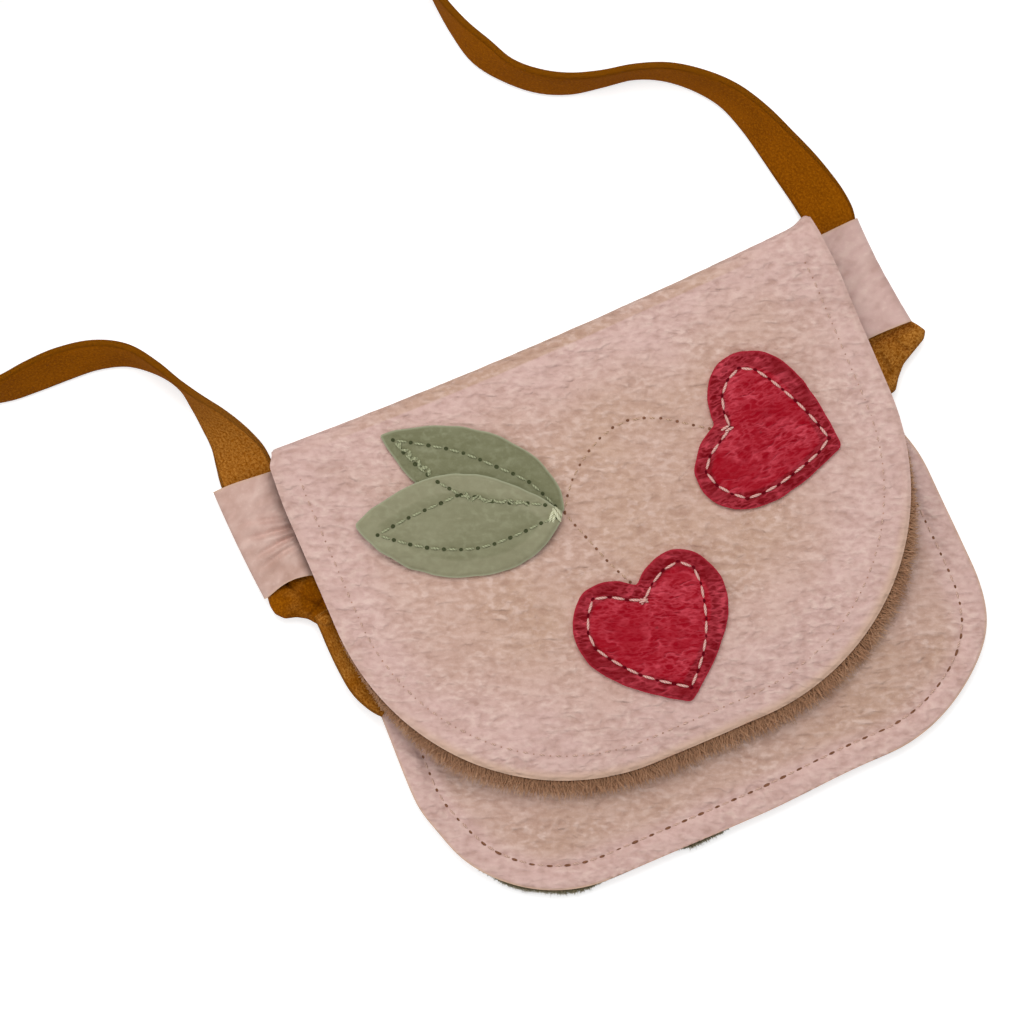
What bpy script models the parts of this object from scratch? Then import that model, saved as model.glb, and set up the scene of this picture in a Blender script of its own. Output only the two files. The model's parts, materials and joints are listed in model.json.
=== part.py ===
"""Child's leather crossbody purse, lying on its back with the flap closed.

Metres, +Z up out of the purse's front, +Y towards the fold, X along the fold.
The origin is under the middle of the body, on the surface that the purse lies on.
A drop is a distance down the purse, from the fold towards the bottom edge.
"""
import math

import bmesh
import bpy
from mathutils import Vector

# Hide, lining and the gap between pieces that touch
leather_thickness = 0.0012
lining_thickness = 0.0009
seat_gap = 0.0003

# Body panels
body_width = 0.131
body_height = 0.115
body_corner_radius = 0.030
back_top_width = 0.1216
front_top_width = 0.1216
taper_start_drop = 0.031
taper_end_drop = 0.062
mouth_drop = 0.016
seam_inset = 0.006
dome_rise = 0.0052
dome_reach = 0.026
back_fold_radius = 0.0050

# Flap
flap_top_width = 0.1284
flap_flare = 0.0008
flap_flare_drop = 0.015
flap_height = 0.095
flap_side_drop = 0.041
flap_end_half_width = 0.012
flap_fold_radius = 0.0033
flap_side_droop = 0.0026
flap_end_droop = 0.0030
flap_droop_ramp = 0.020
flap_end_droop_start = 0.074

# Magnetic snap under the flap
snap_drop = 0.065
snap_radius = 0.0080
snap_rim = 0.0006
socket_height = 0.0012
socket_recess_radius = 0.0037
socket_recess_depth = 0.0008
cap_plate_height = 0.0005
cap_boss_radius = 0.0032
cap_boss_height = 0.0007

# Strap loops in the side seams
loop_leather = 0.0009
loop_top_drop = 0.0040
loop_length = 0.025
loop_reach = 0.0763
loop_leg_start = 0.0560
loop_rise_start = 0.0614
loop_rise_end = 0.0634
loop_clearance = 0.0003
lining_notch_clearance = 0.0005

# Suede strap, a flat lace
lace_width = 0.0110
lace_thickness = 0.0016
lace_ground_gap = 0.0002
knot_width = 0.0112
knot_height = 0.0042
knot_round = 0.0014
left_knot_length = 0.0068
right_knot_length = 0.0054
knot_below_loop = 0.0006
left_knot_out = 0.0006
right_knot_out = 0.0013
tail_lift = 0.0006

# Applique: hearts and leaves cut from leather
heart_thickness = 0.0013
leaf_thickness = 0.0012
applique_edge = 0.0004
heart_width = 0.0344
heart_depth = 0.0277
heart_upper_lobe_rise = 0.0029
heart_lower_lobe_rise = 0.0041
leaf_upper_length = 0.0433
leaf_lower_length = 0.0450
leaf_upper_left_bulge = 0.0096
leaf_upper_right_bulge = 0.0098
leaf_lower_left_bulge = 0.0096
leaf_lower_right_bulge = 0.0129

# Shares of a heart's half-width, depth and lobe rise where its curves' control points lie
heart_widest_share = 0.25
heart_crest_share = 0.54
heart_tip_shares = (0.55, 0.76)
heart_flank_share = 0.52
heart_shoulder_share = 0.72
heart_cleft_shares = (0.23, 0.13, 0.55)
heart_middle_share = 0.36

# Shares of a leaf's length where its sides' control points lie, from base to tip
leaf_upper_left_shares = (0.16, 0.66)
leaf_upper_right_shares = (0.30, 0.86)
leaf_lower_left_shares = (0.38, 0.66)
leaf_lower_right_shares = (0.10, 0.78)
leaf_middle_share = 0.5
cubic_reach_share = 4 / 3
overlap_share = 0.62

# Places of the applique's bases and clefts, and their turns
heart_upper_x = 0.0276
heart_upper_drop = 0.0329
heart_upper_degrees = 57.3
heart_lower_x = -0.0016
heart_lower_drop = 0.0582
heart_lower_degrees = 2.1
leaf_upper_x = -0.0095
leaf_upper_drop = 0.0372
leaf_upper_degrees = -135.5
leaf_lower_x = -0.0099
leaf_lower_drop = 0.0370
leaf_lower_degrees = -109.4

# Counts of rows, columns and sides
panel_columns = 20
flat_columns = 4
straight_rows = 12
corner_rows = 9
fold_rows = 4
wall_rows = 3
disc_sides = 32
applique_rings = 3
curve_steps = 8
bevel_steps = 3
mitre_share = 0.5
panel_sharp_degrees = 40
loop_sharp_degrees = 50
lace_sharp_degrees = 30

# Strap route, each point: place along the fold, place above the fold, tilt of the lace in degrees
left_route = (
    (-69.25, -2.3, 0), (-69.4, 1.5, 2), (-70.2, 6.0, 10), (-71.9, 11.5, 30), (-73.8, 16.5, 58),
    (-75.8, 21.5, 84), (-79.0, 26.8, 84), (-83.8, 31.8, 72), (-90.2, 34.6, 60), (-97.5, 35.6, 55),
    (-104.5, 35.7, 58), (-111.5, 35.7, 66), (-119.0, 37.5, 74), (-126.5, 42.5, 84),
    (-131.0, 50.0, 90), (-133.0, 59.0, 90), (-133.2, 69.0, 90), (-132.0, 80.0, 90),
    (-130.0, 92.0, 90), (-128.2, 104.0, 90), (-127.0, 116.0, 90), (-126.8, 128.0, 90),
    (-127.2, 140.0, 90), (-127.4, 151.0, 90), (-125.2, 160.5, 90), (-120.0, 167.4, 90),
    (-113.6, 170.3, 90), (-108.6, 170.8, 90),
)
right_route = (
    (69.25, -2.3, 0), (69.0, 1.5, 2), (68.2, 6.0, 8), (66.8, 11.5, 18), (65.0, 17.5, 30),
    (62.6, 25.0, 42), (59.4, 31.8, 54), (54.8, 37.3, 64), (49.0, 41.9, 74), (42.4, 44.8, 84),
    (35.2, 46.2, 86), (28.4, 48.0, 78), (22.4, 51.2, 68), (17.2, 56.0, 64), (13.4, 62.2, 66),
    (10.9, 69.2, 76), (9.4, 76.5, 86), (8.8, 84.5, 90), (8.0, 93.0, 90), (5.2, 101.4, 90),
    (-0.2, 108.8, 90), (-7.4, 114.0, 90), (-15.2, 116.8, 90), (-23.0, 117.8, 90), (-30.0, 118.0, 90),
)

# Strap ends through the loops, each point: distance in from the slot's middle, drop, and share of the
# rise from the loop's slot onto the front's sewn margin
left_end_route = (
    (0.0, 2.6, 0.0), (0.0, 12.0, 0.0), (0.0, 21.0, 0.0), (0.0, 29.5, 0.0), (0.65, 33.6, 0.4),
    (2.25, 37.6, 0.9), (4.65, 42.5, 1.0), (6.65, 48.5, 1.0), (8.05, 54.8, 1.0), (8.85, 61.0, 1.0),
)
right_end_route = (
    (0.0, 2.6, 0.0), (0.0, 12.0, 0.0), (0.0, 21.0, 0.0), (0.0, 29.5, 0.0), (0.85, 33.0, 0.4),
    (3.45, 36.6, 0.9), (6.85, 39.6, 1.0), (9.85, 41.8, 1.0),
)
route_unit = 0.001
route_smoothing = 3
settle_points = 4

# Hank of the length put away, folded on edge and tied
hank_runs = 7
hank_run_length = 0.078
hank_pitch = 0.0088
hank_start_x = -0.0300
hank_start_rise = 0.1180
hank_fold_steps = 8
hank_join_gap = 0.0003
tie_width = 0.0080
tie_thickness = 0.0009
tie_clearance = 0.0004

fold_y = body_height / 2
back_lining_low = leather_thickness + seat_gap
back_lining_top = back_lining_low + lining_thickness
front_lining_low = back_lining_top + seat_gap
front_panel_low = front_lining_low + lining_thickness + seat_gap
margin_top = front_panel_low + leather_thickness
front_crest = margin_top + dome_rise
snap_stack = seat_gap + socket_height + seat_gap + cap_plate_height + seat_gap
flap_under_crest = front_crest + snap_stack
hide_stack = leather_thickness + seat_gap + lining_thickness
flap_crest = flap_under_crest + hide_stack
hinge_height = flap_crest - flap_fold_radius
hinge_gap = seat_gap
hank_lift = tie_thickness + tie_clearance


def clear_scene():
    for old in list(bpy.data.objects):
        bpy.data.objects.remove(old, do_unlink=True)


def material(name, colour, roughness, metallic=0.0):
    made = bpy.data.materials.new(name)
    made.use_nodes = True
    shader = made.node_tree.nodes["Principled BSDF"]
    shader.inputs["Base Color"].default_value = (*colour, 1.0)
    shader.inputs["Roughness"].default_value = roughness
    shader.inputs["Metallic"].default_value = metallic
    made.diffuse_color = (*colour, 1.0)
    return made


def add_object(name, mesh, finish, smooth_angle=None, parent=None):
    """Link a mesh as one sub-part; a child keeps its world place under its parent empty."""
    piece = bpy.data.objects.new(name, mesh)
    bpy.context.scene.collection.objects.link(piece)
    mesh.materials.append(finish)
    if smooth_angle is not None:
        mesh.shade_smooth()
        mesh.set_sharp_from_angle(angle=math.radians(smooth_angle))
    if parent is not None:
        piece.parent = parent
        piece.location = -parent.location
    return piece


def smooth(share):
    """Ease from 0 to 1 as a share runs from 0 to 1."""
    held = min(max(share, 0.0), 1.0)
    return math.sin(held * math.pi / 2) ** 2


def shell(name, outer, inner, finish, parent=None, smooth_angle=panel_sharp_degrees):
    """Closed sheet between two grids of points, rows from first to last, each row from -X to +X."""
    build = bmesh.new()
    outer_rows = [[build.verts.new(point) for point in row] for row in outer]
    inner_rows = [[build.verts.new(point) for point in row] for row in inner]
    last_row = len(outer) - 1
    last_column = len(outer[0]) - 1
    for i in range(last_row):
        for j in range(last_column):
            a, b = outer_rows[i], outer_rows[i + 1]
            build.faces.new((a[j], a[j + 1], b[j + 1], b[j]))
            c, d = inner_rows[i], inner_rows[i + 1]
            build.faces.new((c[j], d[j], d[j + 1], c[j + 1]))
    for i in range(last_row):
        for j in (0, last_column):
            build.faces.new((outer_rows[i][j], outer_rows[i + 1][j], inner_rows[i + 1][j], inner_rows[i][j]))
    for j in range(last_column):
        for i in (0, last_row):
            build.faces.new((outer_rows[i][j], outer_rows[i][j + 1], inner_rows[i][j + 1], inner_rows[i][j]))
    bmesh.ops.recalc_face_normals(build, faces=build.faces)
    mesh = bpy.data.meshes.new(name)
    build.to_mesh(mesh)
    build.free()
    return add_object(name, mesh, finish, smooth_angle, parent)


def side_half_width(drop, top_width):
    """Half-width of a body panel: straight at the loops, tapering out, with round bottom corners."""
    taper = smooth((drop - taper_start_drop) / (taper_end_drop - taper_start_drop))
    half = (top_width + (body_width - top_width) * taper) / 2
    past = drop - (body_height - body_corner_radius)
    if past > 0:
        reach = math.sqrt(max(body_corner_radius ** 2 - past ** 2, 0.0))
        half -= body_corner_radius - reach
    return half


def panel_drops(first_drop):
    """Drops of a body panel's rows: even down the sides, then by angle round the corners."""
    corner_start = body_height - body_corner_radius
    step = (corner_start - first_drop) / straight_rows
    drops = [first_drop + step * i for i in range(straight_rows)]
    for i in range(corner_rows + 1):
        turn = math.pi / 2 * i / corner_rows
        drops.append(corner_start + body_corner_radius * math.sin(turn))
    return drops


def seam_distance(x, drop):
    """How far a point lies inside the seam that joins the panels round three sides."""
    half = side_half_width(min(drop, body_height - body_corner_radius), front_top_width) - seam_inset
    radius = body_corner_radius - seam_inset
    seam_drop = body_height - seam_inset
    across = abs(x) - (half - radius)
    down = drop - (seam_drop - radius)
    if across > 0 and down > 0:
        return radius - math.hypot(across, down)
    return min(half - abs(x), seam_drop - drop)


def dome(x, drop):
    """Height that the front of the pocket stands above its flat sewn margin."""
    return dome_rise * smooth(seam_distance(x, drop) / dome_reach)


def row_points(half, y, height, columns):
    """One row of a panel, from -X to +X, with its height as a function of x."""
    places = [half * (2 * j / columns - 1) for j in range(columns + 1)]
    return [(x, y, height(x)) for x in places]


def back_rows(offset):
    """Rows of the back hide at an offset from its outer face, up round the fold to the hinge."""
    rows = []
    for drop in reversed(panel_drops(back_fold_radius)):
        half = side_half_width(drop, back_top_width)
        rows.append(row_points(half, fold_y - drop, lambda x: offset, flat_columns))
    half = back_top_width / 2
    radius = back_fold_radius - offset
    for i in range(1, fold_rows + 1):
        turn = math.pi / 2 * i / fold_rows
        y = fold_y - back_fold_radius + radius * math.sin(turn)
        z = back_fold_radius - radius * math.cos(turn)
        rows.append(row_points(half, y, lambda x, z=z: z, flat_columns))
    flare = (flap_top_width - back_top_width) / 2
    wall = hinge_height - hinge_gap / 2 - back_fold_radius
    for i in range(1, wall_rows + 1):
        share = i / wall_rows
        z = back_fold_radius + wall * share
        wide = half + flare * smooth(share)
        rows.append(row_points(wide, fold_y - offset, lambda x, z=z: z, flat_columns))
    return rows


def front_rows(low):
    """Rows of a front sheet whose margin lies at a height, domed over the pocket."""
    rows = []
    for drop in panel_drops(mouth_drop):
        half = side_half_width(drop, front_top_width)
        rows.append(row_points(half, fold_y - drop, lambda x: low + dome(x, drop), panel_columns))
    return rows


def flap_half_width(drop):
    """Half-width of the flap: straight sides, then one long curve round to the bottom edge."""
    half = flap_top_width / 2 + flap_flare * smooth(drop / flap_flare_drop)
    past = drop - flap_side_drop
    if past <= 0:
        return half
    depth = flap_height - flap_side_drop
    share = math.sqrt(max(1 - (past / depth) ** 2, 0.0))
    return flap_end_half_width + (half - flap_end_half_width) * share


def flap_sag(x, drop):
    """How far the flap's free sides and end hang below its crest."""
    ramp = smooth((drop - flap_fold_radius) / flap_droop_ramp)
    side = flap_side_droop * (abs(x) / (flap_top_width / 2 + flap_flare)) ** 3 * ramp
    end_reach = flap_height - flap_end_droop_start
    end = flap_end_droop * smooth((drop - flap_end_droop_start) / end_reach / 2) * 2
    return side + end


def flap_face(x, drop):
    """Height of the flap's outer face."""
    return flap_crest - flap_sag(x, drop)


def flap_drops():
    step = (flap_side_drop - flap_fold_radius) / straight_rows
    drops = [flap_fold_radius + step * i for i in range(1, straight_rows)]
    depth = flap_height - flap_side_drop
    arc_rows = 2 * corner_rows
    for i in range(arc_rows + 1):
        drops.append(flap_side_drop + depth * math.sin(math.pi / 2 * i / arc_rows))
    return drops


def flap_rows(offset):
    """Rows of the flap at an offset from its outer face, from the hinge round to the free end."""
    half = flap_top_width / 2
    low = hinge_height + hinge_gap / 2
    rows = [row_points(half, fold_y - offset, lambda x: low, panel_columns)]
    radius = flap_fold_radius - offset
    for i in range(1, fold_rows + 1):
        turn = math.pi / 2 * i / fold_rows
        y = fold_y - flap_fold_radius + radius * math.cos(turn)
        z = hinge_height + radius * math.sin(turn)
        rows.append(row_points(half, y, lambda x, z=z: z, panel_columns))
    for drop in flap_drops():
        half = flap_half_width(drop)
        rows.append(row_points(half, fold_y - drop, lambda x: flap_face(x, drop) - offset, panel_columns))
    return rows


def block(name, low, high):
    """Plain box between two corners, for cutting or joining."""
    mesh = bpy.data.meshes.new(name)
    build = bmesh.new()
    bmesh.ops.create_cube(build, size=1.0)
    middle = (Vector(low) + Vector(high)) / 2
    size = Vector(high) - Vector(low)
    for vert in build.verts:
        vert.co = middle + Vector((vert.co.x * size.x, vert.co.y * size.y, vert.co.z * size.z))
    build.to_mesh(mesh)
    build.free()
    guide = bpy.data.objects.new(name, mesh)
    bpy.context.scene.collection.objects.link(guide)
    guide.hide_render = True
    guide.display_type = "WIRE"
    return guide


def boolean(piece, other, operation):
    step = piece.modifiers.new(operation.title(), "BOOLEAN")
    step.operation = operation
    step.object = other
    step.solver = "EXACT"


def notch_for_loops(lining, name):
    """Cut a lining back at both sides, where the loops' legs take its place in the seam."""
    inner = loop_leg_start - lining_notch_clearance
    first = fold_y - loop_top_drop + lining_notch_clearance
    last = fold_y - loop_top_drop - loop_length - lining_notch_clearance
    for side, label in ((-1, "left"), (1, "right")):
        ends = sorted((side * inner, side * loop_reach))
        cutter = block(f"{name}_{label}_notch", (ends[0], last, -leather_thickness),
                       (ends[1], first, front_panel_low))
        boolean(lining, cutter, "DIFFERENCE")


def make_body(pink, pile):
    shell("back_panel", back_rows(0.0), back_rows(leather_thickness), pink)
    lining = shell("back_lining", back_rows(back_lining_low), back_rows(back_lining_top), pile)
    notch_for_loops(lining, "back_lining")
    front_lining_top = front_lining_low + lining_thickness
    lining = shell("front_lining", front_rows(front_lining_top), front_rows(front_lining_low), pile)
    notch_for_loops(lining, "front_lining")
    shell("front_panel", front_rows(margin_top), front_rows(front_panel_low), pink)


def make_flap(pink, pile, hinge):
    lining_offset = leather_thickness + seat_gap
    shell("flap", flap_rows(0.0), flap_rows(leather_thickness), pink, hinge)
    shell("flap_lining", flap_rows(lining_offset), flap_rows(hide_stack), pile, hinge)


def turned(name, profile, place, finish, parent=None):
    """Turned solid from a profile of radius and height, first and last points on the axis."""
    build = bmesh.new()
    rings = []
    for radius, height in profile:
        if radius == 0:
            rings.append([build.verts.new((place[0], place[1], place[2] + height))])
            continue
        ring = []
        for i in range(disc_sides):
            turn = 2 * math.pi * i / disc_sides
            ring.append(build.verts.new((place[0] + radius * math.cos(turn),
                                         place[1] + radius * math.sin(turn), place[2] + height)))
        rings.append(ring)
    for low, high in zip(rings, rings[1:]):
        for i in range(disc_sides):
            after = (i + 1) % disc_sides
            if len(low) == 1:
                build.faces.new((low[0], high[i], high[after]))
            elif len(high) == 1:
                build.faces.new((low[i], low[after], high[0]))
            else:
                build.faces.new((low[i], low[after], high[after], high[i]))
    bmesh.ops.recalc_face_normals(build, faces=build.faces)
    mesh = bpy.data.meshes.new(name)
    build.to_mesh(mesh)
    build.free()
    return add_object(name, mesh, finish, panel_sharp_degrees, parent)


def make_snap(steel, hinge):
    """Magnetic snap: a recessed socket on the front and a bossed cap under the flap."""
    floor = socket_height - socket_recess_depth
    socket = ((0, 0), (snap_radius - snap_rim, 0), (snap_radius, snap_rim),
              (snap_radius, socket_height - snap_rim), (snap_radius - snap_rim, socket_height),
              (socket_recess_radius, socket_height), (socket_recess_radius, floor), (0, floor))
    turned("snap_socket", socket, (0, fold_y - snap_drop, front_crest + seat_gap), steel)
    edge = cap_plate_height / 2
    cap = ((0, -cap_boss_height), (cap_boss_radius, -cap_boss_height), (cap_boss_radius, 0),
           (snap_radius - edge, 0), (snap_radius, edge), (snap_radius - edge, cap_plate_height),
           (0, cap_plate_height))
    low = flap_under_crest - seat_gap - cap_plate_height
    turned("snap_cap", cap, (0, fold_y - snap_drop, low), steel, hinge)


def offset_line(points, thickness):
    """The two faces of a band of even thickness along a flat line of points."""
    left, right = [], []
    for i, point in enumerate(points):
        before = Vector(points[max(i - 1, 0)])
        after = Vector(points[min(i + 1, len(points) - 1)])
        here = Vector(point)
        first = (here - before).normalized() if i > 0 else (after - here).normalized()
        second = (after - here).normalized() if i < len(points) - 1 else first
        along = (first + second).normalized()
        normal = Vector((-along.y, along.x))
        reach = thickness / 2 / max(normal.dot(Vector((-first.y, first.x))), mitre_share)
        left.append(here + normal * reach)
        right.append(here - normal * reach)
    return left, right


def loop_levels():
    """Heights of the middle of a loop's lower leg and of its upper leg past the seam."""
    lower = back_lining_low + loop_leather / 2
    return lower, lower + loop_leather + lace_thickness + 2 * loop_clearance


def loop_line():
    """Middle line of a loop's leather in the XZ plane, lower leg, outer fold and upper leg."""
    lower, upper = loop_levels()
    seated = front_lining_low + loop_leather / 2
    radius = (upper - lower) / 2
    centre_x = loop_reach - loop_leather / 2 - radius
    points = [(loop_leg_start, lower), ((loop_leg_start + centre_x) / 2, lower)]
    for i in range(curve_steps + 1):
        turn = math.pi * i / curve_steps
        points.append((centre_x + radius * math.sin(turn), lower + radius * (1 - math.cos(turn))))
    points += [(loop_rise_end, upper), (loop_rise_start, seated), (loop_leg_start, seated)]
    return points


def slot_middle():
    """Distance out and height of the lace's middle in a loop, against the loop's outer fold."""
    lower, upper = loop_levels()
    inner_radius = (upper - lower - loop_leather) / 2
    reach = math.sqrt(inner_radius ** 2 - (lace_thickness / 2) ** 2) - loop_clearance
    fold_x = loop_reach - loop_leather - inner_radius
    return fold_x + reach - lace_width / 2, (lower + upper) / 2


def make_loop(name, side, pink):
    first, second = offset_line(loop_line(), loop_leather)
    low = fold_y - loop_top_drop - loop_length
    high = fold_y - loop_top_drop
    rows = []
    for line in (first, second):
        rows.append([[(side * p.x, y, p.y) for y in (low, high)] for p in line])
    shell(name, rows[0], rows[1], pink, smooth_angle=loop_sharp_degrees)


def spline(points, steps):
    """Smooth curve through points by Catmull-Rom segments, with even steps in each."""
    made = []
    for i in range(len(points) - 1):
        p0 = Vector(points[max(i - 1, 0)])
        p1 = Vector(points[i])
        p2 = Vector(points[i + 1])
        p3 = Vector(points[min(i + 2, len(points) - 1)])
        for j in range(steps):
            t = j / steps
            made.append(((2 * p1) + (p2 - p0) * t + (2 * p0 - 5 * p1 + 4 * p2 - p3) * t ** 2
                         + (3 * p1 - p0 - 3 * p2 + p3) * t ** 3) / 2)
    made.append(Vector(points[-1]))
    return made


def lace(name, points, tilts, finish):
    """Flat lace swept along a line; a tilt of 0 lies flat and of 90 degrees stands on edge."""
    build = bmesh.new()
    rings = []
    for i, point in enumerate(points):
        before = points[max(i - 1, 0)]
        after = points[min(i + 1, len(points) - 1)]
        along = (after - before).normalized()
        side = along.cross(Vector((0, 0, 1))).normalized()
        up = side.cross(along).normalized()
        turn = math.radians(tilts[i])
        wide = side * math.cos(turn) + up * math.sin(turn)
        thin = up * math.cos(turn) - side * math.sin(turn)
        half_wide = wide * lace_width / 2
        half_thin = thin * lace_thickness / 2
        corners = (half_wide + half_thin, half_thin - half_wide,
                   -half_wide - half_thin, half_wide - half_thin)
        rings.append([build.verts.new(point + corner) for corner in corners])
    for low, high in zip(rings, rings[1:]):
        for k in range(4):
            build.faces.new((low[k], low[(k + 1) % 4], high[(k + 1) % 4], high[k]))
    build.faces.new(rings[0])
    build.faces.new(rings[-1])
    bmesh.ops.recalc_face_normals(build, faces=build.faces)
    mesh = bpy.data.meshes.new(name)
    build.to_mesh(mesh)
    build.free()
    return add_object(name, mesh, finish, lace_sharp_degrees)


def lying_height(tilt):
    """Height of the lace's middle when its lower edge rests on the ground at a tilt."""
    turn = math.radians(tilt)
    rise = lace_width / 2 * math.sin(turn) + lace_thickness / 2 * math.cos(turn)
    return lace_ground_gap + rise


def route_points(route):
    """Points of a strap run in the row frame, from its loop's slot down to the ground and onto the tie."""
    points = []
    for i, (x, y, tilt) in enumerate(route):
        settled = smooth(i / settle_points)
        lifted = smooth(1 - (len(route) - 1 - i) / settle_points)
        resting = lying_height(tilt) + hank_lift * lifted
        height = slot_middle()[1] * (1 - settled) + resting * settled
        points.append((x * route_unit, fold_y + y * route_unit, max(height, resting), tilt))
    return points


def make_run(name, route, suede):
    rows = route_points(route)
    places = spline([row[:3] for row in rows], route_smoothing)
    tilts = spline([(row[3], 0, 0) for row in rows], route_smoothing)
    lace(name, places, [tilt.x for tilt in tilts], suede)
    return places


def hank_line():
    """Middle line of the hank: runs side by side, joined by round folds, all on edge."""
    height = hank_lift + lying_height(90)
    radius = hank_pitch / 2
    points = []
    way = -1
    start = Vector((hank_start_x + hank_join_gap * way, fold_y + hank_start_rise, height))
    for run in range(hank_runs):
        end = start + Vector((way * hank_run_length, 0, 0))
        points += [start, (start + end) / 2, end]
        if run < hank_runs - 1:
            centre = end + Vector((0, radius, 0))
            for i in range(1, hank_fold_steps):
                turn = math.pi * i / hank_fold_steps
                points.append(centre + Vector((way * radius * math.sin(turn), -radius * math.cos(turn), 0)))
            start = end + Vector((0, hank_pitch, 0))
            way = -way
    return points


def least_gap(points, spare):
    """Least face-to-face gap of a lace on edge to its own turns further along than a spare length."""
    travelled = [0.0]
    for a, b in zip(points, points[1:]):
        travelled.append(travelled[-1] + (b - a).length)
    best = math.inf
    for i, a in enumerate(points):
        for j in range(i + 1, len(points)):
            if travelled[j] - travelled[i] > spare:
                best = min(best, (points[j] - a).length)
    return best - lace_thickness


def make_strap_end(name, side, route, knot_out, knot_length, suede):
    """Strap end: the lace through its loop, the knot below, and the tail tucked under the flap."""
    slot_x, slot_z = slot_middle()
    rise = margin_top + seat_gap + tail_lift + lace_thickness / 2 - slot_z
    line = []
    for inward, drop, share in route:
        x = side * (slot_x - inward * route_unit)
        line.append((x, fold_y - drop * route_unit, slot_z + rise * share))
    places = spline(line, route_smoothing)
    end = lace(name, places, [0.0] * len(places), suede)
    middle = side * (slot_x + knot_out)
    top = fold_y - loop_top_drop - loop_length - knot_below_loop
    low_z = slot_z - knot_height / 2
    knot = block(f"{name}_knot", (middle - knot_width / 2, top - knot_length, low_z),
                 (middle + knot_width / 2, top, low_z + knot_height))
    soften = knot.modifiers.new("Round", "BEVEL")
    soften.width = knot_round
    soften.segments = bevel_steps
    boolean(end, knot, "UNION")


def make_tie(suede):
    """Band round the middle of the hank, open in the middle for its runs."""
    x = hank_start_x - hank_run_length / 2
    margin = lace_thickness / 2 + tie_clearance
    first = fold_y + hank_start_rise - margin
    last = fold_y + hank_start_rise + (hank_runs - 1) * hank_pitch + margin
    low = lace_ground_gap + tie_thickness
    high = low + tie_clearance * 2 + lace_width + lace_ground_gap
    inner = [(first, low), (last, low), (last, high), (first, high)]
    grow = tie_thickness
    outer = [(first - grow, low - grow), (last + grow, low - grow),
             (last + grow, high + grow), (first - grow, high + grow)]
    build = bmesh.new()
    rings = []
    for corners, place in ((outer, x - tie_width / 2), (outer, x + tie_width / 2),
                           (inner, x + tie_width / 2), (inner, x - tie_width / 2)):
        rings.append([build.verts.new((place, y, z)) for y, z in corners])
    for i in range(4):
        one, two = rings[i], rings[(i + 1) % 4]
        for k in range(4):
            build.faces.new((one[k], one[(k + 1) % 4], two[(k + 1) % 4], two[k]))
    bmesh.ops.recalc_face_normals(build, faces=build.faces)
    mesh = bpy.data.meshes.new("hank_tie")
    build.to_mesh(mesh)
    build.free()
    add_object("hank_tie", mesh, suede)


def make_strap(suede):
    left = make_run("strap_left_run", left_route, suede)
    right = make_run("strap_right_run", right_route, suede)
    hank = hank_line()
    lace("strap_hank", hank, [90.0] * len(hank), suede)
    make_tie(suede)
    make_strap_end("strap_end_left", -1, left_end_route, left_knot_out, left_knot_length, suede)
    make_strap_end("strap_end_right", 1, right_end_route, right_knot_out, right_knot_length, suede)
    print("strap lengths in m:", [round(sum((b - a).length for a, b in zip(p, p[1:])), 4)
                                  for p in (left, right, hank)])
    own_turn = math.pi * hank_pitch
    print("least gap of the hank to itself in m:", round(least_gap(hank, own_turn), 5))


def bezier(p0, p1, p2, p3, steps):
    """Points of a cubic curve, without its last point."""
    made = []
    for i in range(steps):
        t = i / steps
        k = 1 - t
        made.append(Vector(p0) * k ** 3 + Vector(p1) * 3 * k * k * t
                    + Vector(p2) * 3 * k * t * t + Vector(p3) * t ** 3)
    return made


def heart_outline(lobe_rise):
    """Heart with its cleft at the origin and its tip down, counter-clockwise."""
    half = heart_width / 2
    tip = (0, -heart_depth)
    widest = (half, -heart_widest_share * heart_depth)
    crest = (heart_crest_share * half, lobe_rise)
    right = bezier(tip, (heart_tip_shares[0] * half, -heart_tip_shares[1] * heart_depth),
                   (half, -heart_flank_share * heart_depth), widest, curve_steps)
    right += bezier(widest, (half, 0), (heart_shoulder_share * half, lobe_rise), crest, curve_steps // 2)
    right += bezier(crest, (heart_cleft_shares[0] * half, lobe_rise),
                    (heart_cleft_shares[1] * half, heart_cleft_shares[2] * lobe_rise), (0, 0),
                    curve_steps // 2)
    left = [Vector((-p.x, p.y)) for p in reversed(right[1:])]
    return right + [Vector((0, 0))] + left


def leaf_outline(length, left_bulge, right_bulge, left_shares, right_shares):
    """Leaf with its base at the origin and its tip down, counter-clockwise."""
    left = left_bulge * cubic_reach_share
    right = right_bulge * cubic_reach_share
    tip = (0, -length)
    one = bezier(tip, (right, -right_shares[1] * length), (right, -right_shares[0] * length), (0, 0),
                 2 * curve_steps)
    two = bezier((0, 0), (-left, -left_shares[0] * length), (-left, -left_shares[1] * length), tip,
                 2 * curve_steps)
    return one + two


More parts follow.
